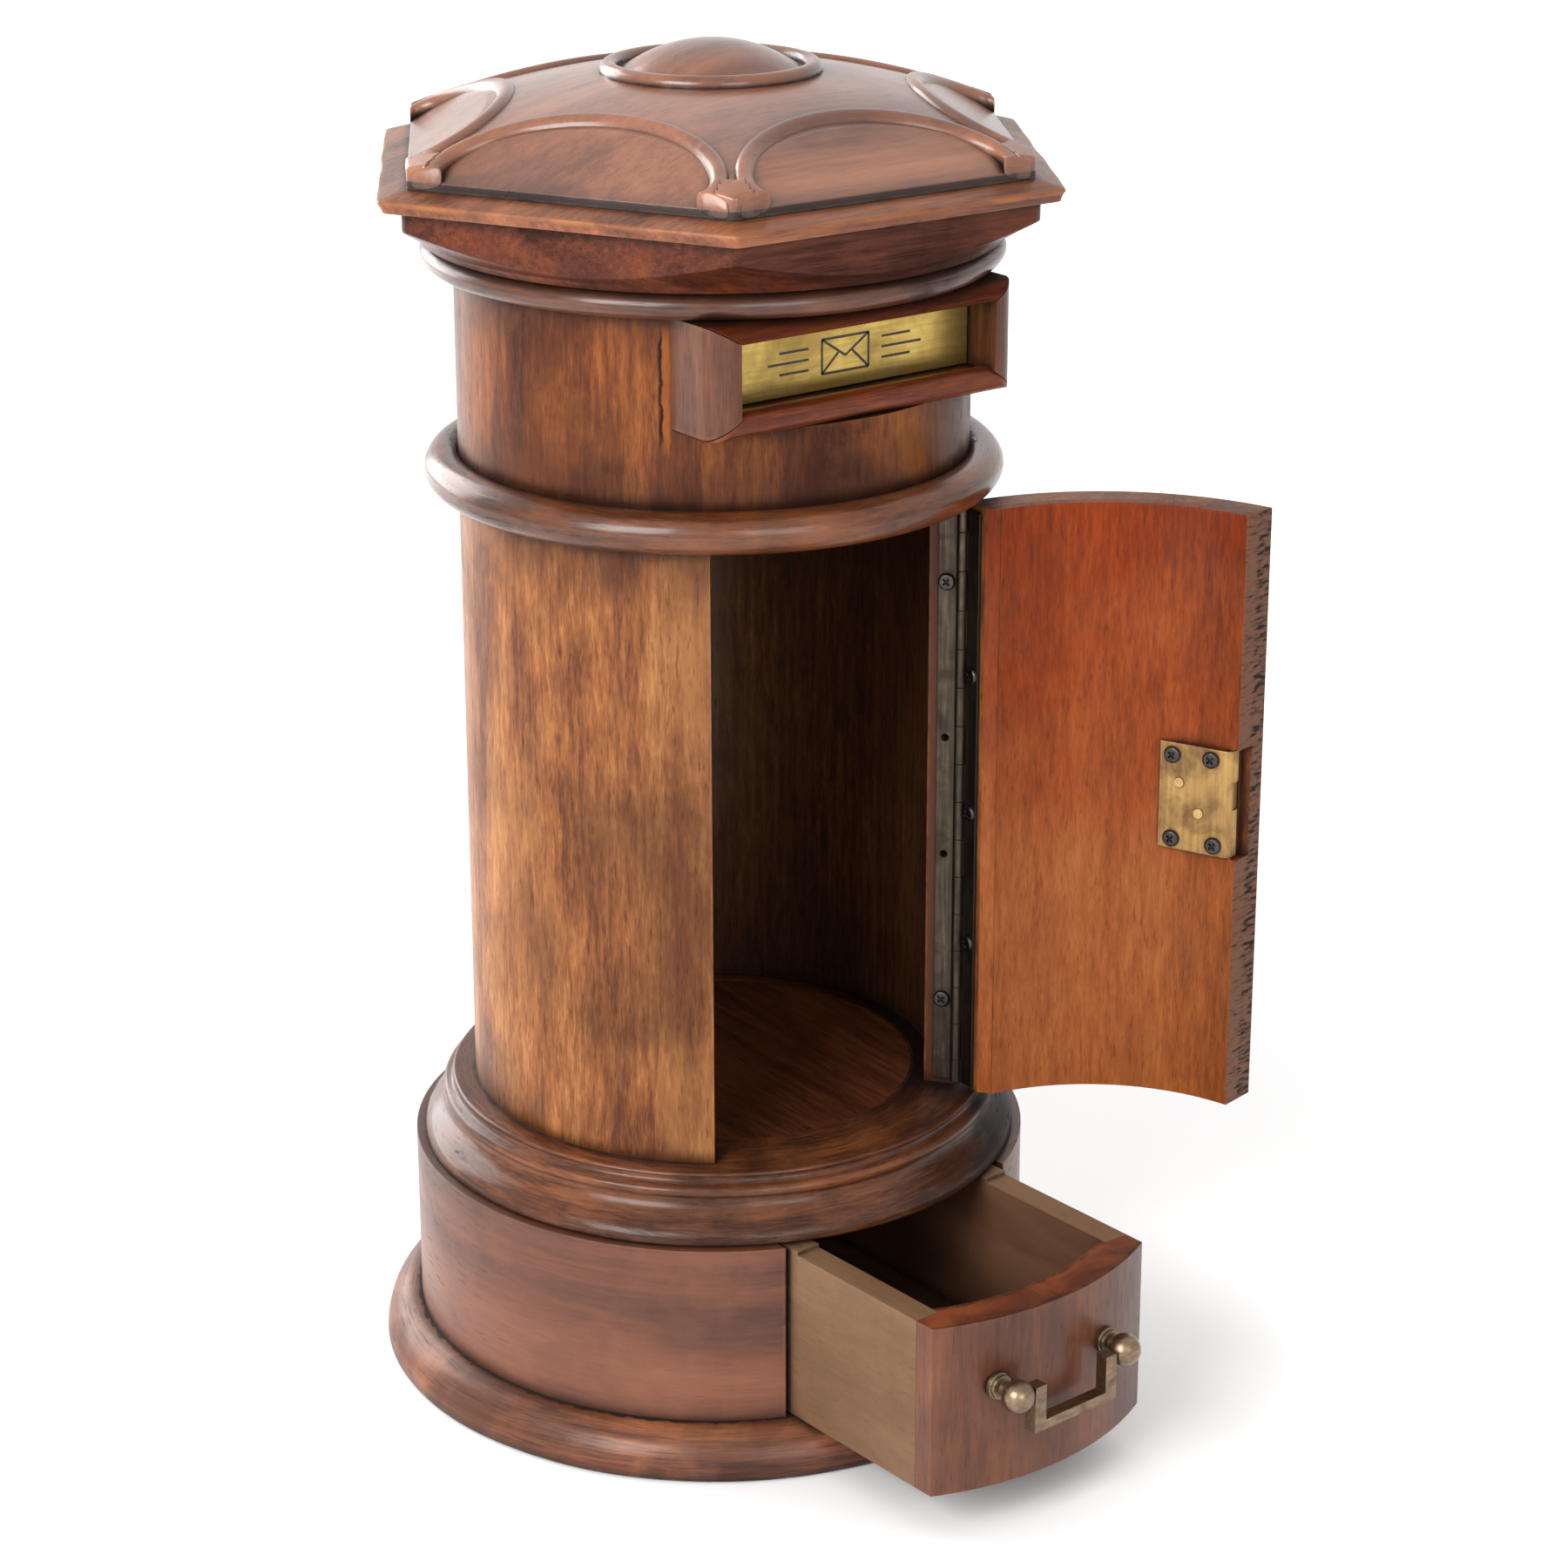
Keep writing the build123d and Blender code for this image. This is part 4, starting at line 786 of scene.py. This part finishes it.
def arch_bead(number):
    """Bead over one panel: an ellipse, flared and flattened where it nears the eaves, carried along the
    half ellipse (u, v) = (a sin t, b cos t) of the panel's edge and laid on the dome."""
    t = np.linspace(-1, 1, 150)[:, None]
    t = np.radians(90 * np.sin(t * math.pi / 2) * 0.35 + 90 * t * 0.65)
    u, v = arch_half_width * np.sin(t), arch_depth * np.cos(t) - 0.15 * mm
    out_u, out_v = np.sin(t) / arch_half_width, np.cos(t) / arch_depth
    length = np.hypot(out_u, out_v)
    spread = np.exp(-(np.maximum(v, 0) / bead_flare_depth) ** 1.2)
    end = np.clip((0.6 * mm - v) / (0.75 * mm), 0, 1)
    half = bead_half + bead_flare * spread
    lift = bead_lift * (1 - 0.22 * spread)
    theta = np.linspace(0, 2 * math.pi, 24, endpoint=False)[None, :]
    wide = half * np.cos(theta)
    tall = bead_deep * np.sign(np.sin(theta)) * np.abs(np.sin(theta)) ** (1 - 0.55 * spread)
    u_all = u + wide * out_u / length
    v_all = v + wide * out_v / length * (v > 0.5 * mm)
    facing = math.radians(60 * number + 30)
    x = (crown_flat_r - v_all) * math.cos(facing) - u_all * math.sin(facing)
    y = (crown_flat_r - v_all) * math.sin(facing) + u_all * math.cos(facing)
    drop = 0.35 * mm * (1 - np.sqrt(1 - end ** 2)) * (np.sin(theta) > 0)
    z = dome_height(x, y) + lift - bead_deep + tall - drop
    points = np.stack([x, y, z], -1)
    bead = skin(f"arch_bead_{number}", points, crown_wood, caps=True, turn=cap_turn, crease=50)
    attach(bead, "pillar")


for number in range(6):
    arch_bead(number)

# ------------------------------------------------------------------ boss
# A turned boss on the dome: a ring bead, a deep groove and a low dome, all from one block.
boss_low, boss_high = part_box("cap_boss")
boss_bead_r = 37.9 * mm
boss_bead_half = 3.3 * mm
boss_bead_z = 511.4 * mm
boss_dome_r = 33.8 * mm
boss_edge_z = 510.9 * mm
boss_rise = boss_high.z - boss_edge_z
ball_r = (boss_dome_r ** 2 + boss_rise ** 2) / (2 * boss_rise)
ball_edge = math.degrees(math.acos(boss_dome_r / ball_r))
boss_profile = np.concatenate([
    [(0.0, boss_low.z), (boss_bead_r, boss_low.z)],
    bow(boss_bead_r, boss_bead_z, boss_bead_half, boss_bead_half, -40, 190, 28),
    bow(0.0, boss_high.z - ball_r, ball_r, ball_r, ball_edge, 90, 26),
])
boss_wood = timber(
    "boss_mahogany", "X", (0.120, 0.040, 0.021), (0.245, 0.083, 0.038), (0.37, 0.135, 0.060), dark=0.3,
    light=0.5, shade_and_grime=1.0, rubbed=0.3, rough=0.34, coat=0.8, specular=0.35, pore_tone=0.1, fibre_share=0.3,
    shift=(0.7, 0.3, 0.1),
)
boss = turned("turned_boss", boss_profile, boss_wood, wobble=0.15 * mm, seed=3.0)
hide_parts("cap_boss")
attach(boss, "pillar")

# ------------------------------------------------------------------ frame of the letter slot
# Four mitred rails with a rounded outer edge, coped to the drum. The upper rail is redder than
# the others.
rail_box = [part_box("slot_frame_" + side) for side in ("left", "right", "top", "bottom")]
frame_half = rail_box[1][1].x
frame_front = rail_box[2][0].y
slot_half = 57.0 * mm
frame_low_z = rail_box[3][0].z
frame_high_z = rail_box[2][1].z
slot_low_z = frame_low_z + 7.6 * mm
slot_high_z = rail_box[2][0].z
top_round = 6.4 * mm
end_round = 9.6 * mm
lower_bead = 4.8 * mm
frame_seat_r = 96.6 * mm
frame_seat_y = -85.3 * mm  # flat planed on the drum behind the frame


def quarter(depth, size):
    """How far a rounded edge falls back where it is cut into by depth out of size."""
    depth = np.clip(depth, 0, size)
    return size - np.sqrt(size ** 2 - depth ** 2)


def rail_front(x, z):
    """Front of the frame: flat, then quarter rounds at its top, its two ends and its lower edge."""
    top = quarter(z - frame_high_z + top_round, top_round)
    ends = quarter(np.abs(x) - frame_half + end_round, end_round)
    foot = quarter(frame_low_z + lower_bead - z, lower_bead)
    return frame_front + np.maximum(np.maximum(top, foot), ends)


def rail_back(x):
    """The frame's back follows the drum and the flat that is planed on it."""
    return np.maximum(-np.sqrt(frame_seat_r ** 2 - x ** 2), frame_seat_y)


def rail(name, side, material):
    """One mitred rail. Across it, s goes from 0 at the slot to 1 at the outer edge, closer together
    where the edge is round; along it, the ends follow the mitre. The lower rail is a whole bead."""
    along = np.linspace(-1, 1, 97)[:, None]
    reach = 0.9965 if side in ("top", "bottom") else 0.987  # a hair short of the mitre
    along = (0.45 * np.sin(along * math.pi / 2) + 0.55 * along) * reach
    if side == "bottom":
        angle = np.radians(np.linspace(36, 270, 30))[None, :]
        y = frame_front + lower_bead + lower_bead * np.cos(angle)
        z = frame_low_z + lower_bead + lower_bead * np.sin(angle)
        y = np.concatenate([y, [[0.0, 0.0]]], 1)
        z = np.concatenate([z, [[frame_low_z, slot_low_z]]], 1)
        s = np.clip((slot_low_z - z) / (slot_low_z - frame_low_z), 0, 1)
        x = (slot_half - 0.05 * mm + s * (frame_half - slot_half)) * along
        ends = frame_front + quarter(np.abs(x) - frame_half + end_round, end_round)
        behind = np.arange(y.shape[1])[None, :] >= y.shape[1] - 2
        y = np.where(behind, rail_back(x), np.maximum(y, ends))
        z = z + 0 * along
    else:
        s = np.sin(np.radians(np.linspace(0, 90, 22)))
        s = np.concatenate([[0.0, 0.02], 0.04 + 0.96 * s[1:], [1.0, 0.0]])
        z_top = slot_high_z + s[None, :] * (frame_high_z - slot_high_z)
        z_low = slot_low_z - s[None, :] * (slot_low_z - frame_low_z)
        x_out = slot_half + s[None, :] * (frame_half - slot_half)
        if side == "top":
            x = x_out * along
            z = z_top + 0 * along
        else:
            x = (x_out if side == "right" else -x_out) + 0 * along
            z = z_low + (z_top - z_low) * (along + 1) / 2
        lip = 0.5 * mm * (np.arange(len(s)) == 0)[None, :]
        y = rail_front(x, z) + lip
        y[:, -2:] = rail_back(x)[:, -2:]
    piece = skin(name, np.stack([x, y, z], -1), material, caps=True, crease=42)
    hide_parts("slot_frame_" + side)
    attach(piece, "pillar")


cheek_wood = timber(
    "cheek_mahogany", "Z", (0.034, 0.010, 0.005), (0.100, 0.029, 0.012), (0.20, 0.062, 0.024), dark=0.6,
    light=0.5, rubbed=0.6, shift=(0.1, 0.9, 0.4), pore_tone=0.3, specular=0.2, coat=0.3,
)
top_rail_wood = timber(
    "top_rail_mahogany", "X", (0.026, 0.006, 0.002), (0.062, 0.011, 0.003), (0.14, 0.028, 0.007), dark=0.4,
    light=0.5, rubbed=0.4, shift=(0.5, 0.5, 0.1), pore_tone=0.3, specular=0.1, coat=0.0, rough=0.45,
)
bottom_rail_wood = timber(
    "bottom_rail_mahogany", "X", (0.050, 0.010, 0.003), (0.125, 0.024, 0.006), (0.26, 0.06, 0.015),
    dark=0.4, light=0.6, rubbed=0.6, shift=(0.1, 0.5, 0.8), pore_tone=0.3, specular=0.15, coat=0.3,
)
rail("frame_cheek_left", "left", cheek_wood)
rail("frame_cheek_right", "right", cheek_wood)
rail("frame_rail_top", "top", top_rail_wood)
rail("frame_rail_bottom", "bottom", bottom_rail_wood)

# ------------------------------------------------------------------ letter flap
# A rolled brass flap on a pin, rubbed bright in the middle with brown patina at its edges. A plain
# envelope sign with ruled bars is engraved in it and filled with black wax.


def metal(name, colour, second, rough=0.3, streak="X", streak_scale=60.0,
          patina=(0.05, 0.03, 0.015), patina_share=0.5, patina_scale=60.0, drawn_out=0.06):
    """Worn metal: fine streaks between two tones, with clouded patches of patina."""
    material, tree, shader = blank_material(name)
    place = put(tree, "TexCoord").outputs["Object"]
    stretch = [1.0, 1.0, 1.0]
    stretch["XYZ".index(streak)] = drawn_out
    drawn = stretched(tree, place, stretch)
    lines = noise(tree, drawn, streak_scale * 12, 4.0)
    base = tones(tree, lines, ((0.3, colour), (0.7, second)))
    cloud = effect(tree, stain_patches, {"Vector": place, "Scale": patina_scale, "Low": 0.42, "High": 0.66})
    share = times(tree, cloud["Mask"], patina_share)
    shade_grime_and_wear = effect(tree, corner_shade_and_grime, {"Vector": place, "Reach": 3 * mm})
    share = maths(tree, "MAXIMUM", share, times(tree, shade_grime_and_wear["Shade and Grime"], 0.9))
    base = blend(tree, share, base, (*patina, 1))
    tree.links.new(base, shader.inputs["Base Color"])
    tree.links.new(ranged(tree, share, 0.0, 1.0, rough, rough + 0.25), shader.inputs["Roughness"])
    soft = put(tree, "Bevel", {"Radius": 0.4 * mm}, samples=4).outputs["Normal"]
    add_bump(tree, shader, lines, soft, 0.15, 0.2 * mm)
    shader.inputs["Metallic"].default_value = 1.0
    return material


flap_brass = metal(
    "flap_brass_finish", (0.62, 0.44, 0.13), (0.46, 0.31, 0.085), rough=0.30, patina=(0.16, 0.095, 0.03),
    patina_share=0.65, patina_scale=34.0,
)
dress(flap_brass, "letter_flap", "flap_pin")
flap_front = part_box("letter_flap")[0].y
sign_z = (slot_low_z + slot_high_z) / 2 - 0.6 * mm
sign_half_height = 6.3 * mm
sign_half_width = 10.5 * mm
stroke = 0.9 * mm
wax_depth = 0.12 * mm


def strip(start, end, width):
    """Flat bar between two points of the flap's face, as a closed box of grid points."""
    a, b = np.array(start), np.array(end)
    along = (b - a) / np.linalg.norm(b - a)
    side = np.array([-along[1], along[0]]) * width / 2
    corners = np.array([a - side, a + side, b + side, b - side])
    levels = [np.full(4, flap_front + depth) for depth in (wax_depth, -wax_depth / 2)]
    return np.array([np.stack([corners[:, 0], level, corners[:, 1]], -1) for level in levels])


left, right = -sign_half_width, sign_half_width
low, high = sign_z - sign_half_height, sign_z + sign_half_height
fold_z = sign_z - 0.12 * sign_half_height
lower_fold_x, lower_fold_z = 0.30 * sign_half_width, fold_z + 1.5 * mm
bars = [((left, low), (right, low)), ((left, high), (right, high)), ((left, low), (left, high))]
bars += [((right, low), (right, high)), ((left, high), (0, fold_z)), ((right, high), (0, fold_z))]
bars += [((left, low), (-lower_fold_x, lower_fold_z)), ((right, low), (lower_fold_x, lower_fold_z))]
for direction in (-1, 1):
    for k, level in enumerate((0.62, 0.0, -0.62)):
        inner = direction * (sign_half_width + 6 * mm)
        outer = direction * (sign_half_width + (24 - 5 * abs(k - 1)) * mm)
        height = sign_z + level * sign_half_height
        bars.append(((inner, height), (outer, height)))
wax, wax_tree, wax_shader = blank_material("black_wax")
wax_place = put(wax_tree, "TexCoord").outputs["Object"]
wax_wear = noise(wax_tree, wax_place, 700.0, 3.0)
wax_colour = tones(wax_tree, wax_wear, ((0.35, (0.012, 0.010, 0.009)), (0.75, (0.05, 0.04, 0.03))))
wax_tree.links.new(wax_colour, wax_shader.inputs["Base Color"])
wax_shader.inputs["Roughness"].default_value = 0.5
for index, (start, end) in enumerate(bars):
    line = skin(f"flap_sign_{index}", strip(start, end, stroke), wax, caps=True)
    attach(line, "flap")

# ------------------------------------------------------------------ hinge
# A long continuous hinge of blackened brass. One leaf is screwed to the jamb and one to the door's
# edge, with black cross-head screws.
hinge_metal = metal(
    "hinge_bronze_finish", (0.105, 0.080, 0.060), (0.045, 0.034, 0.026), rough=0.38, streak="Z",
    patina=(0.035, 0.025, 0.018), patina_share=0.7, patina_scale=90.0,
)
knuckle_metal = metal("hinge_pin_finish", (0.20, 0.145, 0.085), (0.085, 0.06, 0.04), rough=0.33, streak="Z")
screw_metal = metal(
    "black_screw_finish", (0.085, 0.078, 0.075), (0.045, 0.041, 0.039), rough=0.33, streak="Z",
    patina=(0.012, 0.01, 0.01), patina_share=0.3, patina_scale=200.0,
)
dress(hinge_metal, "hinge_leaf_fixed", "hinge_leaf_door")
dress(knuckle_metal, "hinge_pin")
dress(screw_metal, "hinge_screws_fixed", "hinge_screws_door")

# ------------------------------------------------------------------ door
# The curved door, orange inside and as dark as the wall outside. Its free edge is sawn across the
# bent wood and full of dark open pores.
hinge_joint = next(j for j in frame["joints"] if j["name"] == "door_hinge")
hinge_at = np.array(hinge_joint["pos_m"][:2])
opened = math.radians(-hinge_joint["range_deg"][0])  # from shut to the place at rest


def swung(x, y):
    """A place on the shut door, in metres, where it is with the door open as at rest."""
    dx, dy = x - hinge_at[0], y - hinge_at[1]
    return (
        hinge_at[0] + dx * math.cos(opened) - dy * math.sin(opened),
        hinge_at[1] + dx * math.sin(opened) + dy * math.cos(opened),
    )


door_centre = swung(0.0, 0.0)
free_side = math.radians(-36.5)  # where the door's free edge meets the wall when shut
free_out = swung(-math.cos(free_side), -math.sin(free_side))
edge_facing = (free_out[0] - door_centre[0], free_out[1] - door_centre[1], 0.0)


def door_faces(tree, place, colour, grain):
    """Inside face orange, free edge dark with coarse pores."""
    offset = stretched(tree, place["Object"], shift=(-door_centre[0], -door_centre[1], 0.0))
    radius = from_axis(tree, offset)[1]
    inside = ranged(tree, radius, 86.5 * mm, 85.5 * mm)
    level = plus(tree, times(tree, grain["Figure"], 0.4), times(tree, grain["Fibre"], 0.6))
    low_stops = ((0.36, (0.160, 0.040, 0.010)), (0.52, (0.280, 0.076, 0.018)), (0.66, (0.36, 0.115, 0.032)))
    top_stops = ((0.36, (0.100, 0.013, 0.001)), (0.52, (0.205, 0.027, 0.002)), (0.66, (0.285, 0.046, 0.004)))
    low_part = tones(tree, level, low_stops)
    top_part = tones(tree, level, top_stops)
    height = coordinates(tree, place["Object"])["Z"]
    wander = noise(tree, place["Object"], 9.0, 3.0)
    level_up = plus(tree, height, ranged(tree, wander, 0.3, 0.7, -0.07, 0.07))
    orange = blend(tree, ranged(tree, level_up, 0.20, 0.33), low_part, top_part)
    patch = effect(tree, stain_patches, {"Vector": place["Object"], "Scale": 13.0, "Low": 0.5, "High": 0.7})
    orange = blend(tree, times(tree, patch["Mask"], 0.35), orange, (0.14, 0.045, 0.018, 1))
    orange = blend(tree, times(tree, grain["Pores"], 0.35), orange, (0.05, 0.016, 0.008, 1))
    colour = blend(tree, inside, colour, orange)
    beyond = dot(tree, offset, edge_facing)
    edge = ranged(tree, beyond, -2.0 * mm, -1.6 * mm)
    squashed = stretched(tree, place["Object"], (0.35, 0.35, 1.6))
    holes = noise(tree, squashed, 420.0, 2.0, Roughness=0.6)
    outer_part = ranged(tree, radius, 87.0 * mm, 90.0 * mm, 0.10, 0.0)
    holes = minus(tree, holes, outer_part)
    stops = ((0.40, (0.185, 0.075, 0.038)), (0.52, (0.110, 0.042, 0.022)), (0.60, (0.014, 0.007, 0.004)))
    return blend(tree, edge, colour, tones(tree, holes, stops))


door_wood = timber(
    "door_mahogany", "Z", (0.085, 0.027, 0.012), (0.215, 0.066, 0.020), (0.38, 0.140, 0.040),
    patch_scale=13.0, dark=0.4, light=0.5, drawn_out=0.15, figure_scale=34.0, recolour=door_faces,
    coat=0.0, specular=0.14, rubbed=0.12, pore_tone=0.4, shift=(0.0, 0.2, 0.0),
)
dress(door_wood, "door_panel")

# ------------------------------------------------------------------ lock
# A stock cupboard lock of pressed brass. Its plate is bent over the door's edge, two rivets show,
# and four black cross-head screws hold it. The bolt is drawn in.
lock_brass = metal(
    "lock_brass_finish", (0.47, 0.29, 0.105), (0.27, 0.155, 0.058), rough=0.34, streak="Z",
    patina=(0.13, 0.070, 0.040), patina_share=0.8, patina_scale=70.0, streak_scale=45.0,
)
dress(lock_brass, "lock_case", "lock_bolt")
rivet_brass = metal("rivet_finish", (0.62, 0.42, 0.17), (0.42, 0.27, 0.11), rough=0.32, streak="Z")
dress(rivet_brass, "lock_rivets")
dress(screw_metal, "lock_screws")

# ------------------------------------------------------------------ drawer
# A drawer with plain brown sides and a curved mahogany front that follows the drum. The top edge
# of the front is redder, and the inside is unpolished.
drawer_joint = next(j for j in frame["joints"] if j["name"] == "drawer_slide")
pulled_out = drawer_joint["range_m"][1]  # from the place at rest to home
drawer_axis = drawer_joint["axis"]
drum_shift = (pulled_out * drawer_axis[0], pulled_out * drawer_axis[1], 0.0)  # puts the drum's axis at 0, 0


def front_faces(tree, place, colour, grain):
    """Behind the outer face the front is plain wood, and its top edge is red."""
    offset = stretched(tree, place["Object"], shift=drum_shift)
    radius = from_axis(tree, offset)[1]
    behind = ranged(tree, radius, drum_r - 14.4 * mm, drum_r - 14.9 * mm)
    plain = tones(tree, grain["Fibre"], ((0.3, (0.11, 0.058, 0.030)), (0.7, (0.20, 0.115, 0.062))))
    colour = blend(tree, behind, colour, plain)
    up = coordinates(tree, place["Normal"])["Z"]
    top = ranged(tree, up, 0.7, 0.9)
    red_stops = ((0.40, (0.085, 0.020, 0.009)), (0.50, (0.16, 0.038, 0.014)), (0.60, (0.25, 0.065, 0.020)))
    red = tones(tree, grain["Figure"], red_stops)
    ragged = noise(tree, place["Object"], 150.0, 4.0)
    edge_r = plus(tree, radius, ranged(tree, ragged, 0.35, 0.65, -1.0 * mm, 1.0 * mm))
    worn = maths(tree, "MAXIMUM", ranged(tree, edge_r, drum_r - 2.0 * mm, drum_r - 0.8 * mm),
                 ranged(tree, edge_r, drum_r - 13.2 * mm, drum_r - 14.4 * mm))
    red = blend(tree, times(tree, worn, 0.8), red, (0.022, 0.009, 0.006, 1))
    return blend(tree, top, colour, red)


front_wood = timber(
    "drawer_front_mahogany", "Z", (0.075, 0.024, 0.012), (0.150, 0.048, 0.021), (0.23, 0.078, 0.033),
    patch_scale=16.0, dark=0.5, light=0.4, drawn_out=0.12, recolour=front_faces, rubbed=0.55,
    pore_tone=0.18, specular=0.35, coat=0.2, fibre_share=0.35, shift=(0.2, 0.4, 0.1),
)
dress(front_wood, "drawer_front")


def inner_face_with_shade(inward):
    """Recolour step: the face of a drawer side that looks inwards, along X times inward, is redder, and
    darker with painted shade.
    """
    def step(tree, place, colour, grain):
        across = coordinates(tree, place["Normal"])["X"]
        share = ranged(tree, times(tree, across, inward), 0.5, 0.7)
        stops = ((0.40, (0.050, 0.020, 0.010)), (0.50, (0.095, 0.042, 0.021)), (0.60, (0.145, 0.068, 0.035)))
        return blend(tree, share, colour, tones(tree, grain["Figure"], stops))
    return step


side_feeds = dict(
    patch_scale=20.0, dark=0.22, light=0.3, coat=0.0, rough=0.55, rubbed=0.25, pore_tone=0.08,
    drawn_out=0.16, figure_scale=16.0, specular=0.3, fibre_share=0.25,
)
side_colours = ((0.170, 0.090, 0.045), (0.220, 0.120, 0.062), (0.265, 0.150, 0.080))
left_side_wood = timber("drawer_left_side_wood", "Y", *side_colours, recolour=inner_face_with_shade(1), **side_feeds)
right_side_wood = timber(
    "drawer_right_side_wood", "Y", *side_colours, recolour=inner_face_with_shade(-1), **side_feeds,
)
inner_wood = timber(
    "drawer_inner_wood", "Y", (0.028, 0.012, 0.006), (0.055, 0.024, 0.012), (0.09, 0.042, 0.022),
    patch_scale=18.0, dark=0.4, light=0.35, coat=0.0, rough=0.6, rubbed=0.2, pore_tone=0.3,
)
dress(left_side_wood, "drawer_side_left")
dress(right_side_wood, "drawer_side_right")
dress(inner_wood, "drawer_back", "drawer_bottom")

# ------------------------------------------------------------------ drawer pull
# Two turned posts of antique brass, fixed through the drawer's front, and a square-edged bail
# that turns in their ball ends. Handling has worn it bright along its edges.
pull_metal = metal(
    "pull_brass_finish", (0.33, 0.235, 0.155), (0.21, 0.145, 0.098), rough=0.30, streak="X",
    patina=(0.10, 0.07, 0.045), patina_share=0.6, patina_scale=110.0, drawn_out=0.3,
)
dress(pull_metal, "handle_posts", "drawer_bail")

# ------------------------------------------------------------------ table, light and camera
# The box stands on a white sheet under large soft lamps, seen from its front left and above.
# The sheet and the world look white to the camera, and the sheet keeps the box's soft shadow. Close
# under the box a painted shadow dims the sheet's glow.


def seen_rays(tree):
    """1 for rays from the camera, off gloss or through glass, which see the white background."""
    path = put(tree, "LightPath").outputs
    seen = maths(tree, "MAXIMUM", path["Is Camera Ray"], path["Is Glossy Ray"])
    return maths(tree, "MAXIMUM", seen, path["Is Transmission Ray"])


floor_mesh = bpy.data.meshes.new("white_sheet")
reach = 6.0
floor_corners = [(-reach, -reach, 0), (reach, -reach, 0), (reach, reach, 0), (-reach, reach, 0)]
floor_mesh.from_pydata(floor_corners, [], [(0, 1, 2, 3)])
floor = bpy.data.objects.new("white_sheet", floor_mesh)
bpy.context.scene.collection.objects.link(floor)
sheet, sheet_tree, sheet_shader = blank_material("white_paper")
sheet_shader.inputs["Base Color"].default_value = (0.93, 0.93, 0.93, 1)
sheet_shader.inputs["Roughness"].default_value = 0.9
sheet_shader.inputs["Specular IOR Level"].default_value = 0.0
sheet_shader.inputs["Emission Color"].default_value = (1, 1, 1, 1)
sheet_seen = seen_rays(sheet_tree)
sheet_place = put(sheet_tree, "TexCoord").outputs["Object"]
sheet_far = from_axis(sheet_tree, sheet_place)[1]
sheet_glow_and_shadow = ranged(sheet_tree, sheet_far, 0.3, 1.5, 0.36, 0.75)
# Painted shadow: the glow is dimmed where the box closes the sheet in.
sheet_painted_shadow = put(sheet_tree, "AmbientOcclusion", {"Distance": 0.09}, samples=12).outputs["AO"]
sheet_glow_and_shadow = times(sheet_tree, sheet_glow_and_shadow, ranged(sheet_tree, sheet_painted_shadow, 0.15, 0.75))
sheet_tree.links.new(times(sheet_tree, sheet_seen, sheet_glow_and_shadow), sheet_shader.inputs["Emission Strength"])
floor_mesh.materials.append(sheet)

world = bpy.data.worlds.new("studio")
bpy.context.scene.world = world
world.use_nodes = True
world_tree = world.node_tree
background = world_tree.nodes["Background"]
strength = ranged(world_tree, seen_rays(world_tree), 0.0, 1.0, 0.34, 1.0)
background.inputs["Color"].default_value = (1, 1, 1, 1)
world_tree.links.new(strength, background.inputs["Strength"])


def lamp(name, place, aim, size, power):
    """Large square soft lamp."""
    data = bpy.data.lights.new(name, "AREA")
    data.shape = "SQUARE"
    data.size = size
    data.energy = power
    holder = bpy.data.objects.new(name, data)
    bpy.context.scene.collection.objects.link(holder)
    holder.location = place
    holder.rotation_euler = (Vector(aim) - Vector(place)).to_track_quat("-Z", "Y").to_euler()


lamp("key_lamp", (-2.1, -0.75, 1.35), (0, 0, 0.28), 1.3, 54)
lamp("front_lamp", (-0.5, -2.4, 1.1), (0, 0, 0.25), 1.2, 17)
lamp("edge_lamp", (-0.5, 2.2, 1.0), (0, 0, 0.3), 1.7, 48)

camera_data = bpy.data.cameras.new("camera")
camera = bpy.data.objects.new("camera", camera_data)
bpy.context.scene.collection.objects.link(camera)
camera_place = Vector((-0.8056, -1.1294, 0.7426))
camera_turn = math.radians(-36.17)  # about Z, from looking along +Y
camera_tilt = math.radians(18.356)
camera_roll = -0.00367  # radians, about the line of sight
camera.location = camera_place
level_turn = Matrix.Rotation(camera_turn, 3, "Z") @ Matrix.Rotation(math.pi / 2 - camera_tilt, 3, "X")
camera.rotation_euler = (level_turn @ Matrix.Rotation(camera_roll, 3, "Z")).to_euler()
camera_data.lens = 86.787
camera_data.sensor_width = 36.0
camera_data.shift_x = 0.01686
camera_data.shift_y = -0.08
camera_data.clip_start = 0.01
camera_data.clip_end = 50.0
bpy.context.scene.camera = camera
bpy.context.scene.view_settings.view_transform = "Standard"
